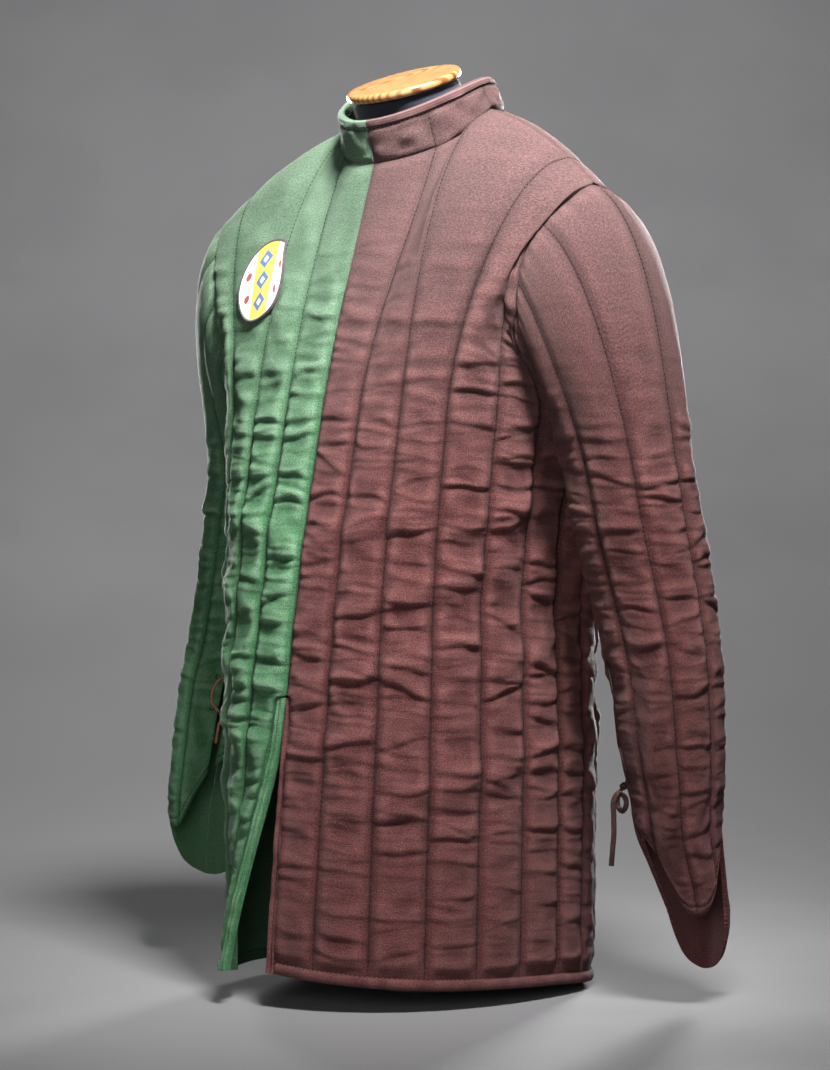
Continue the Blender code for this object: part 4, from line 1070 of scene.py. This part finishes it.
for side, half in SIDES:
    rng = np.random.default_rng(31 + side)
    collar_c = np.concatenate([COLLAR_STEPS, 2 * CHANNELS - COLLAR_STEPS[::-1][1:]])
    columns = len(collar_c)
    wander = np.cumsum(rng.normal(0, 0.00012, columns))
    wander -= np.linspace(wander[0], wander[-1], columns)
    crumple = rng.normal(0, 0.0010, (columns // 3 + 2, 6, 1))
    crumple = resampled(
        crumple, np.arange(len(crumple)), np.linspace(0, 1, 6), np.arange(columns) / 3, COLLAR_UP
    )[..., 0]
    outer, inner, crest, uv = [], [], [], []
    for index, c in enumerate(collar_c):
        angle = neckline(c)[0]
        out = np.array([math.sin(angle), -math.cos(angle), 0])
        plump = float(pillow(np.array(c)))
        outer_column, inner_column = [], []
        for row, up in enumerate(COLLAR_UP):
            p = collar_point(c, up)
            roll = blend(0.775, 0.83, up) * (1 - blend(0.93, 1.0, up) * 0.9)
            swell = 0.0019 * plump * blend(0.0, 0.10, up) * (1 - blend(0.70, 0.775, up))
            groove = -0.0006 * math.exp(-(((up - ROLL_STITCH) / 0.012) ** 2))
            rise = swell + 0.0024 * roll * (1 + 0.12 * math.sin(c * 37)) + groove
            rise = rise + wander[index] * blend(0, 0.2, up)
            rise += crumple[index, row] * blend(0, 0.12, up) * (1 - 0.6 * blend(0.78, 0.9, up))
            outer_column.append(p + out * rise)
            inner_column.append(p - out * (COLLAR_WALL - 0.0014 * blend(0.9, 1.0, up)))
            # crest for the linen: painted highlight on the padded channels and the roll, painted shade in
            # the groove under it
            crest.append(0.45 + 0.2 * plump * (up < ROLL_FOOT) + 0.12 * roll - 0.25 * (groove < -0.0002))
            uv.append(((c if up < ROLL_FOOT else 0.5) * CHANNEL_WIDTH * 0.999, up * COLLAR_HEIGHT))
        outer.append(outer_column)
        inner.append(inner_column)
    outer, inner = np.array(outer) * [side, 1, 1], np.array(inner) * [side, 1, 1]
    outer, inner = trimmed(outer, inner, ("first", "last"))
    uv, crest = np.array(uv).reshape(columns, -1, 2), np.array(crest).reshape(columns, -1)
    collar = padded_wall(
        f"collar_{half}_quilted", outer, inner[::2, ::2], uv, crest, CLOTH[side], f"collar_{half}"
    )
    for c in (20, 60):
        STITCH_LINES[side].append(outer[c, 1:17])
    under_roll = outer[1:-1, 17]
    STITCH_LINES[side].append(under_roll + unit(under_roll - np.array([0, COLLAR_Y, 0.85])) * 0.0002)

# =========================================================================== sleeves
# Each sleeve is an outer and an inner piece, sewn behind the arm and, in front, down to
# the elbow. Below it they are laced. Each piece ends in a tongue over the hand.
SLEEVE_FACING = (
    (0, 0.40, 0.00, 0.91), (2, 0.20, -0.70, 0.68), (4, -0.10, -0.98, 0.15),
    (6, -0.50, -0.75, -0.42), (8, -0.70, 0.00, -0.71), (10, -0.62, 0.50, -0.60),
    (12, -0.25, 0.95, -0.15), (14, 0.15, 0.80, 0.58), (16, 0.40, 0.00, 0.91),
)
LEAVE = (
    (0, 0.85, 0.00, -0.53), (2, 0.85, -0.15, -0.50), (4, 0.62, -0.25, -0.74),
    (6, 0.52, -0.10, -0.85), (8, 0.55, 0.00, -0.84), (10, 0.45, 0.00, -0.89),
    (12, 0.32, 0.00, -0.95), (14, 0.50, 0.05, -0.86), (16, 0.85, 0.00, -0.53),
)
CUFF_EDGES = {
    (1, "outer"): ((-2, 0.170), (-1, 0.150), (0, 0.118), (1, 0.093), (2, 0.087),
                   (3, 0.095), (4, 0.143), (5, 0.160), (6, 0.172)),
    (1, "inner"): ((6, 0.172), (7, 0.128), (8, 0.082), (9, 0.046), (10, 0.031),
                   (11, 0.028), (12, 0.036), (13, 0.066), (14, 0.170)),
    (-1, "outer"): ((-2, 0.083), (-1, 0.090), (0, 0.102), (1, 0.123), (2, 0.143),
                    (3, 0.140), (4, 0.141), (5, 0.168), (6, 0.202)),
    (-1, "inner"): ((6, 0.202), (7, 0.213), (8, 0.217), (9, 0.196), (10, 0.142),
                    (11, 0.103), (12, 0.087), (13, 0.082), (14, 0.083)),
}
RIGHT_LACE_LIFT = 0.055
SLEEVE_RING_Z = 0.50
LACE_TOP, LACE_OPENING = 0.345, 0.009
SLEEVE_PUFF, SLEEVE_MOVES, SLEEVE_CUT, SLEEVE_REACH = 0.0030, 0.0035, 0.190, 0.85
RIM_HELD, RIM_STITCH, RIM_SWELL, GATHER_REACH = 0.009, 0.0088, 0.0009, 0.015
HEAD_STEPS, ARM_STEPS = np.linspace(0, 1, 10), np.linspace(0, 1, 22)[1:]
STEPS = np.concatenate([HEAD_STEPS, 1 + ARM_STEPS])
FINE_STEPS = np.concatenate([np.linspace(0, 1, 37), 1 + np.linspace(0, 1, 79)[1:]])


def sleeve_column(rings, k, end_z):
    """Points from the armhole seam down to the cuff, k sixteenths of the way round."""
    leave = facing_at(LEAVE, k)
    start = armhole(k) + leave * 3 * GAP
    end = ring_point(rings, k, SLEEVE_RING_Z)
    arrive = unit(ring_point(rings, k, SLEEVE_RING_Z - 0.029) - end)
    reach = np.linalg.norm(end - start) * SLEEVE_REACH
    weights = ((t, hermite(t)) for t in HEAD_STEPS)
    column = [
        w[0] * start + w[1] * leave * reach + w[2] * end + w[3] * arrive * reach for t, w in weights
    ]
    for t in ARM_STEPS:
        column.append(ring_point(rings, k, SLEEVE_RING_Z + (end_z - SLEEVE_RING_Z) * t))
    return column


def sleeve_face(rings, table, ks):
    """Points and outward ways of one sleeve piece, its lower edge on a curve through a table."""
    grid = np.array([sleeve_column(rings, k, float(row_at(table, k)[0])) for k in ks])
    normals, geometric = np.zeros_like(grid), grid_normals(grid)
    share, head = HEAD_STEPS[:, None] ** 3, len(HEAD_STEPS)
    for i, k in enumerate(ks):
        angle = -2 * math.pi * k / 16
        level = unit(np.array([math.cos(angle) / 0.8, math.sin(angle), 0.0]))
        if geometric[i, 12] @ level < 0:
            geometric[i] *= -1
        normals[i] = level
        normals[i, :head] = unit(geometric[i, :head] * (1 - share) + level * share)
        normals[i, 0] = facing_at(SLEEVE_FACING, k)
        normals[i, 1] = unit(normals[i, 0] + normals[i, 2])
    return grid, normals


for side, half in SIDES:
    rings, lift = RINGS[side], RIGHT_LACE_LIFT * (side < 0)
    mirror = np.array([side, 1, 1])
    for part, first, last in (("outer", -2, 6), ("inner", 6, 14)):
        ks, fine_k = np.arange(first, last + 0.01, 0.5), np.linspace(first, last, 41)
        grid, normals = sleeve_face(rings, CUFF_EDGES[side, part], ks)
        points = resampled(grid, ks, STEPS, fine_k, FINE_STEPS)
        normals = unit(resampled(normals, ks, STEPS, fine_k, FINE_STEPS))
        run, z = runs(points, 1), points[..., 2]
        amount = blend(0.62, 0.50, z) * (0.45 + 0.55 * blend(0.26, 0.36, z))
        plump = pillow(fine_k / 2 + 1)[:, None]
        ends = blend(0.0, 0.012, np.minimum(run, run[:, -1:] - run))
        start = points + normals * (SLEEVE_PUFF * plump * ends)[..., None]
        close_k = divided(fine_k, 2)
        close, out_way, under, length = puckered(
            start, points, normals, run, amount, SLEEVE_MOVES, RIM_HELD,
            (fine_k, FINE_STEPS), (close_k, divided(FINE_STEPS, 3)),
        )
        z, x = under[..., 2], close_k / 2 + 1
        from_end = length[:, -1:] - length
        amount = (0.12 + 0.88 * blend(0.62, 0.48, z)) * (0.55 + 0.45 * blend(0.22, 0.36, z))
        rise = creased(x, z - z.min(), amount, 51 + 2 * side + (part == "inner"))
        rise = rise * blend(0.0, 0.012, np.minimum(length, from_end))
        # the head is eased into the armhole in small gathers
        gathers = 0.0011 + 0.0010 * np.sin(close_k * 16.3 + 1.7 * np.sin(close_k * 3.1))[:, None]
        rise += gathers * np.exp(-length / GATHER_REACH) * blend(0.0, 0.006, length)
        # the rim along the lower edge is turned over and stitched
        rise += RIM_SWELL * blend(0.0, 0.0015, from_end) * blend(0.0085, 0.0065, from_end)
        rise -= 0.0010 * np.exp(-(((from_end - RIM_STITCH) / 0.0016) ** 2))
        rise[::20] -= LINE_SINK
        close = close + out_way * rise[..., None]
        inner = (under - out_way * WALL)[::2, ::2]

        def opening(column):
            high = LACE_TOP + lift
            return GAP / 2 + LACE_OPENING / 2 * blend(high, high - 0.05, column[:, 2])

        # the outer piece opens along its last column, the inner one along its first
        turned_round = slice(None, None, -1 if part == "outer" else 1)
        gap = opening(under[turned_round][0]) / EDGE_CHANNEL
        close = drawn_back(close[turned_round], np.linspace(0, 4, 81), gap)[turned_round]
        inner = drawn_back(inner[turned_round], np.linspace(0, 4, 41), gap[::2])[turned_round]
        close, inner = trimmed(close, inner, ["first" if part == "outer" else "last"])
        close = pulled_in(close, "bottom", -0.0005)
        crest = crest_of(close, under, out_way)
        close, inner, name = close * mirror, inner * mirror, f"sleeve_{half}_{part}"
        uv = cloth_uv(close_k / 2, length)
        sleeve = padded_wall(name + "_quilted", close, inner, uv, crest, CLOTH[side], name)
        thread_line = close + out_way * mirror * STITCH_OUT
        for column in (20, 40, 60):
            STITCH_LINES[side].append(thread_line[column, 1:-1])
        # row of stitches that holds the turned rim
        nearest = np.argmin(abs(from_end - RIM_STITCH), axis=1)
        STITCH_LINES[side].append(thread_line[np.arange(1, 80), nearest[1:80]])

# ========================================================================= stitching
# Linen thread, slightly darker than the cloth: a running stitch of about 4 mm down
# every quilting line, along the hems and slit, and on each side of the side seams.
STITCH_PITCH, STITCH_LENGTH, STITCH_RADIUS = 0.0046, 0.0026, 0.00058


def thread(dark, light):
    def build():
        place = vector("Object")
        twist = noise(place, 2600, 2)
        return {
            "Base Color": mixed(twist.ramp(0.35, 0.65), dark, light),
            "Roughness": twist.ramp(0.3, 0.7, 0.6, 0.85),
            "Normal": bump(twist, 0.0002, 0.6),
        }

    return build


THREAD = {
    side: finish(name, thread(dark, light), Specular_IOR_Level=0.1)
    for side, name, dark, light in (
        (-1, "green_thread", (0.004, 0.020, 0.007), (0.012, 0.048, 0.018)),
        (1, "brown_thread", (0.014, 0.003, 0.003), (0.036, 0.010, 0.010)),
    )
}


def stitch_tree(material):
    """Running stitch along the edges of a mesh: stretched grains of thread at an even pitch."""
    tree = bpy.data.node_groups.new("running_stitch", "GeometryNodeTree")
    for name, kind, way in (
        ("Geometry", "Geometry", "INPUT"), ("Pitch", "Float", "INPUT"), ("Stitch Length", "Float", "INPUT"),
        ("Thread Radius", "Float", "INPUT"), ("Seed", "Int", "INPUT"), ("Geometry", "Geometry", "OUTPUT"),
    ):
        tree.interface.new_socket(name, in_out=way, socket_type="NodeSocket" + kind)
    kinds = {
        "given": "NodeGroupInput", "result": "NodeGroupOutput", "curve": "GeometryNodeMeshToCurve",
        "points": "GeometryNodeCurveToPoints", "grain": "GeometryNodeMeshIcoSphere",
        "vary": "FunctionNodeRandomValue", "size": "ShaderNodeCombineXYZ", "half": "ShaderNodeMath",
        "place": "GeometryNodeInstanceOnPoints", "real": "GeometryNodeRealizeInstances",
        "paint": "GeometryNodeSetMaterial",
    }
    nodes = {name: tree.nodes.new(kind) for name, kind in kinds.items()}
    nodes["points"].mode, nodes["half"].operation = "LENGTH", "MULTIPLY"
    nodes["vary"].data_type = "FLOAT"
    for name, socket, value in (
        ("grain", "Subdivisions", 1), ("grain", "Radius", 1.0), ("vary", 2, 0.82), ("vary", 3, 1.12),
        ("paint", "Material", material),
    ):
        nodes[name].inputs[socket].default_value = value
    for giver, out, taker, into in (
        ("given", "Geometry", "curve", "Mesh"), ("curve", "Curve", "points", "Curve"),
        ("given", "Pitch", "points", "Length"), ("points", "Points", "place", "Points"),
        ("points", "Rotation", "place", "Rotation"), ("grain", "Mesh", "place", "Instance"),
        ("given", "Seed", "vary", "Seed"), ("given", "Stitch Length", "half", 0),
        ("vary", 1, "half", 1), ("given", "Thread Radius", "size", 0),
        ("given", "Thread Radius", "size", 1), ("half", 0, "size", 2), ("size", 0, "place", "Scale"),
        ("place", "Instances", "real", "Geometry"), ("real", "Geometry", "paint", "Geometry"),
        ("paint", "Geometry", "result", "Geometry"),
    ):
        tree.links.new(nodes[giver].outputs[out], nodes[taker].inputs[into])
    return tree


STITCH_SIZES = {
    "Pitch": STITCH_PITCH, "Stitch Length": STITCH_LENGTH / 2, "Thread Radius": STITCH_RADIUS, "Seed": 3,
}
for side, half in SIDES:
    points, edges = [], []
    for line in STITCH_LINES[side]:
        edges += [(len(points) + i, len(points) + i + 1) for i in range(len(line) - 1)]
        points += [tuple(map(float, p)) for p in line]
    lines = bpy.data.meshes.new("stitch_lines")
    lines.from_pydata(points, edges, [])
    sewn = placed("stitch_lines", lines)
    sewing = sewn.modifiers.new("sewing", "NODES")
    sewing.node_group = stitch_tree(THREAD[side])
    for item in sewing.node_group.interface.items_tree:
        if item.in_out == "INPUT" and item.name in STITCH_SIZES:
            sewing[item.identifier] = STITCH_SIZES[item.name]
    graph = bpy.context.evaluated_depsgraph_get()
    baked = bpy.data.meshes.new_from_object(sewn.evaluated_get(graph))
    bpy.data.objects.remove(sewn, do_unlink=True)
    baked.polygons.foreach_set("use_smooth", [True] * len(baked.polygons))
    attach(placed(f"stitches_{half}", baked), BODY)

# ============================================================================= badge
# An oval cloth badge on the right breast, sewn down round its edge with a satin-stitched
# rim. Its field is white with a yellow pale, three blue lozenges and four red studs.
BADGE_RINGS = (0.0, 0.14, 0.28, 0.42, 0.56, 0.70, 0.80, 0.88, 0.915, 0.93, 0.945, 0.965, 0.985, 0.996, 1.0)
BADGE_STEPS = 120


def breast_point(a, b):
    """Point of the right front, a to the wearer's right and b up from the badge's centre."""
    return body_point(-1, BADGE_C + a / BADGE_WIDE, BADGE_V + b / BADGE_HIGH)


def embroidery():
    """Twill badge: filled motifs in embroidery thread, and a dark satin-stitched rim."""
    place = vector("UV")
    u, v, _ = parts_of(place)
    rough = noise(place, 1400, 2)
    wide = u.maths("ABSOLUTE") + rough * 0.0004
    tall = v.maths("ABSOLUTE")
    field = mixed((wide - 0.0128).ramp(-0.0003, 0.0003), (0.74, 0.43, 0.045), (0.78, 0.77, 0.72))
    # three blue lozenges down the pale
    near_middle = (v - 0.0225).maths("ABSOLUTE").maths("MINIMUM", (v + 0.0225).maths("ABSOLUTE"))
    near = near_middle.maths("MINIMUM", tall)
    lozenge = wide / 0.0088 + near / 0.0102
    field = mixed(lozenge.ramp(0.96, 1.04, 1.0, 0.0), field, (0.030, 0.105, 0.270))
    field = mixed(lozenge.ramp(0.38, 0.46, 1.0, 0.0), field, (0.72, 0.72, 0.70))
    # four red studs on the white
    across, up = wide - 0.0215, tall - 0.0125
    stud = (across * across + up * up).maths("SQRT")
    field = mixed(stud.ramp(0.0040, 0.0046, 1.0, 0.0), field, (0.300, 0.020, 0.022))
    out = ((u / BADGE_HALF_WIDTH) ** 2.0 + (v / BADGE_HALF_HEIGHT) ** 2.0).maths("SQRT")
    rim = out.ramp(0.915, 0.93)
    turn = u.maths("ARCTAN2", v)
    satin = (turn * 190).maths("SINE")
    twill = ((u + v) * 5600).maths("SINE")
    shade = noise(place, 500, 3)
    tone = mixed(rim, field, (0.020, 0.014, 0.014))
    tone = mixed(shade.ramp(0.35, 0.75, 0.0, 0.22), tone, (0.30, 0.28, 0.26))
    relief = satin * rim + twill * (1 - rim) * 0.5
    return {
        "Base Color": tone,
        "Roughness": shade.ramp(0.3, 0.7, 0.55, 0.8),
        "Normal": bump(relief, 0.0002, 0.6),
    }


over, under, badge_uv = [], [], []
for share in BADGE_RINGS:
    for step in range(BADGE_STEPS if share else 1):
        angle = 2 * math.pi * step / BADGE_STEPS
        a = BADGE_HALF_WIDTH * share * math.cos(angle)
        b = BADGE_HALF_HEIGHT * share * math.sin(angle)
        p = breast_point(a, b)
        n = unit(np.cross(breast_point(a, b + 0.004) - p, breast_point(a + 0.004, b) - p))
        n = n * (1 if n[1] < 0 else -1)
        padding = float(pillow(np.array(BADGE_C + a / BADGE_WIDE)))
        lift = BADGE_LIFT - 0.0011 * (1 - padding) * (share < 0.9) - 0.0006 * (share > 0.99)
        rim = 0.0007 * float(blend(0.915, 0.945, share) * (1 - blend(0.98, 1.0, share)))
        over.append(p + n * (lift + BADGE_WALL + rim))
        under.append(p + n * (BADGE_LIFT - BADGE_SUNK))
        badge_uv.append((-a, b))
faces, total, edge = [], len(over), 1 + (len(BADGE_RINGS) - 2) * BADGE_STEPS
for ring in range(len(BADGE_RINGS) - 1):
    high = 1 + ring * BADGE_STEPS
    low = high - BADGE_STEPS
    for k in range(BADGE_STEPS):
        m = (k + 1) % BADGE_STEPS
        face = (low + k, high + k, high + m, low + m) if ring else (0, 1 + k, 1 + m)
        faces += [face, tuple(total + i for i in face)]
for k in range(BADGE_STEPS):
    m = (k + 1) % BADGE_STEPS
    faces.append((edge + k, total + edge + k, total + edge + m, edge + m))
embroidered = finish("badge_embroidery", embroidery, Sheen_Weight=0.2)
badge = piece("badge", over + under, faces, embroidered, "patch", sharp=70)
painted(badge, badge_uv + badge_uv)

# =================================================================== eyelets and knots
# The thong runs through eyelets worked in thread beside each slit, and is wound round
# itself where the bow is tied.


def ringed(rings, tube, flat, steps, sides=8):
    """Points and faces of rings given by centre, axis and radius; flat swells the section."""
    points, faces = [], []
    for centre, axis, radius in rings:
        first = len(points)
        axis = unit(np.asarray(axis, float))
        one = unit(np.cross(axis, [0.0, 0.0, 1.0]))
        two = np.cross(axis, one)
        for i in range(steps):
            angle = 2 * math.pi * i / steps
            spoke = one * math.cos(angle) + two * math.sin(angle)
            for j in range(sides):
                turn = 2 * math.pi * j / sides
                reach = radius + tube * math.cos(turn)
                points.append(centre + spoke * reach + axis * tube * flat * math.sin(turn))
                a, b, k = first + i * sides, first + (i + 1) % steps * sides, (j + 1) % sides
                faces.append((a + j, b + j, b + k, a + k))
    return points, faces


EYELET_RADIUS, EYELET_TUBE, EYELET_ASIDE, KNOT_TUBE = 0.0027, 0.0008, 0.0105, 0.0011
KNOT_TURNS = (((0.25, 0.1, 1.0), 0.0030), ((-0.2, 0.2, 1.0), 0.0033), ((0.9, 0.3, 0.35), 0.0028))
for side, half in SIDES:
    mirror = np.array([side, 1, 1])
    eyelets = [
        (on_cuff(side, across * 1.02, 0.0009, z - 0.003), SLIT_OUT * mirror, EYELET_RADIUS)
        for z in LACE_HEIGHTS[side] for across in (-EYELET_ASIDE, EYELET_ASIDE)
    ]
    piece(f"eyelets_{half}", *ringed(eyelets, EYELET_TUBE, 0.8, 20), THREAD[side])
    knot_at = on_cuff(side, 0.0005, 0.0062, LACE_HEIGHTS[side][-1] - 0.0085)
    knots = [(knot_at, np.array(tilt) * mirror, radius) for tilt, radius in KNOT_TURNS]
    piece(f"lace_knot_{half}", *ringed(knots, KNOT_TUBE, 1.5, 18), THONG[side])

# ============================================================================ studio
# A pale floor that curves up into the wall behind, under a large soft light above and in
# front, a weak fill, and two tall strips behind that draw a bright edge down the cloth.
FLOOR_NEAR, FLOOR_FAR, CURVE_RADIUS, WALL_TOP, HALF_SPAN = -4.0, 0.45, 3.0, 6.0, 6.0
SKY, SKY_STRENGTH, BACKDROP_AT = (0.55, 0.56, 0.58, 1), 0.06, (3.0, 0.6)
# name, degrees round from the camera, height, distance, width, length, watts, aim, spread
LIGHTS = (
    ("key", 15, 2.05, 0.95, 0.40, 0.40, 20, 0.66, 1.1),
    ("side", -8, 0.70, 2.5, 0.8, 1.0, 4.5, 0.30, 1.2),
    ("edge_left", -160, 0.78, 1.9, 0.45, 1.1, 7, 0.72, 0.5),
    ("edge_right", 160, 0.72, 1.9, 0.45, 1.1, 15, 0.60, 0.5),
    ("backdrop", 180, 2.6, 0.9, 2.2, 0.5, 42, None, 2.4),
)


def studio_paint():
    """Matt grey paint with faint roller marks, darker on the floor, and see-through from
    outside so that the piece can be looked at from all round."""
    place = vector("Object")
    cloud = noise(place, 3, 3)
    rise = parts_of(place)[2].ramp(0.0, 0.5)
    wall = mixed(cloud.ramp(0.3, 0.7), (0.176, 0.173, 0.178), (0.196, 0.193, 0.198))
    return {
        "Base Color": mixed(rise, (0.118, 0.116, 0.119), wall),
        "Roughness": cloud.ramp(0.3, 0.7, 0.75, 0.85),
        "Alpha": 1 - shader("ShaderNodeNewGeometry", out="Backfacing"),
    }


profile = [(FLOOR_NEAR, 0.0)] + [
    (FLOOR_FAR + CURVE_RADIUS * math.sin(turn), CURVE_RADIUS * (1 - math.cos(turn)))
    for turn in np.linspace(0, math.pi / 2, 24)
] + [(FLOOR_FAR + CURVE_RADIUS, WALL_TOP)]
aside = np.array([math.cos(LOOK_AZIMUTH), math.sin(LOOK_AZIMUTH), 0])
away = np.array([-math.sin(LOOK_AZIMUTH), math.cos(LOOK_AZIMUTH), 0])
points = [
    tuple(away * far + aside * way + [0, 0, up]) for far, up in profile for way in (-HALF_SPAN, HALF_SPAN)
]
faces = [(2 * i, 2 * i + 1, 2 * i + 3, 2 * i + 2) for i in range(len(profile) - 1)]
sweep = placed("studio_sweep", bpy.data.meshes.new("studio_sweep"))
sweep.data.from_pydata(points, [], faces)
sweep.data.polygons.foreach_set("use_smooth", [True] * len(faces))
sweep.data.materials.append(finish("studio_paint", studio_paint))

for name, degrees, height, distance, width, length, watts, aim, spread in LIGHTS:
    lamp = bpy.data.lights.new(name, "AREA")
    lamp.shape, lamp.size, lamp.size_y, lamp.energy = "RECTANGLE", width, length, watts
    lamp.spread = spread
    made = placed(name, lamp)
    angle = LOOK_AZIMUTH + math.radians(degrees)
    made.location = (distance * math.sin(angle), -distance * math.cos(angle), height)
    target = Vector((0, 0, aim) if aim else away * BACKDROP_AT[0] + np.array([0, 0, BACKDROP_AT[1]]))
    made.rotation_euler = (target - made.location).to_track_quat("-Z", "Y").to_euler()
world = bpy.data.worlds.new("studio")
bpy.context.scene.world = world
world.use_nodes = True
sky = world.node_tree.nodes["Background"].inputs
sky["Color"].default_value, sky["Strength"].default_value = SKY, SKY_STRENGTH
bpy.context.scene.view_settings.view_transform = "Standard"
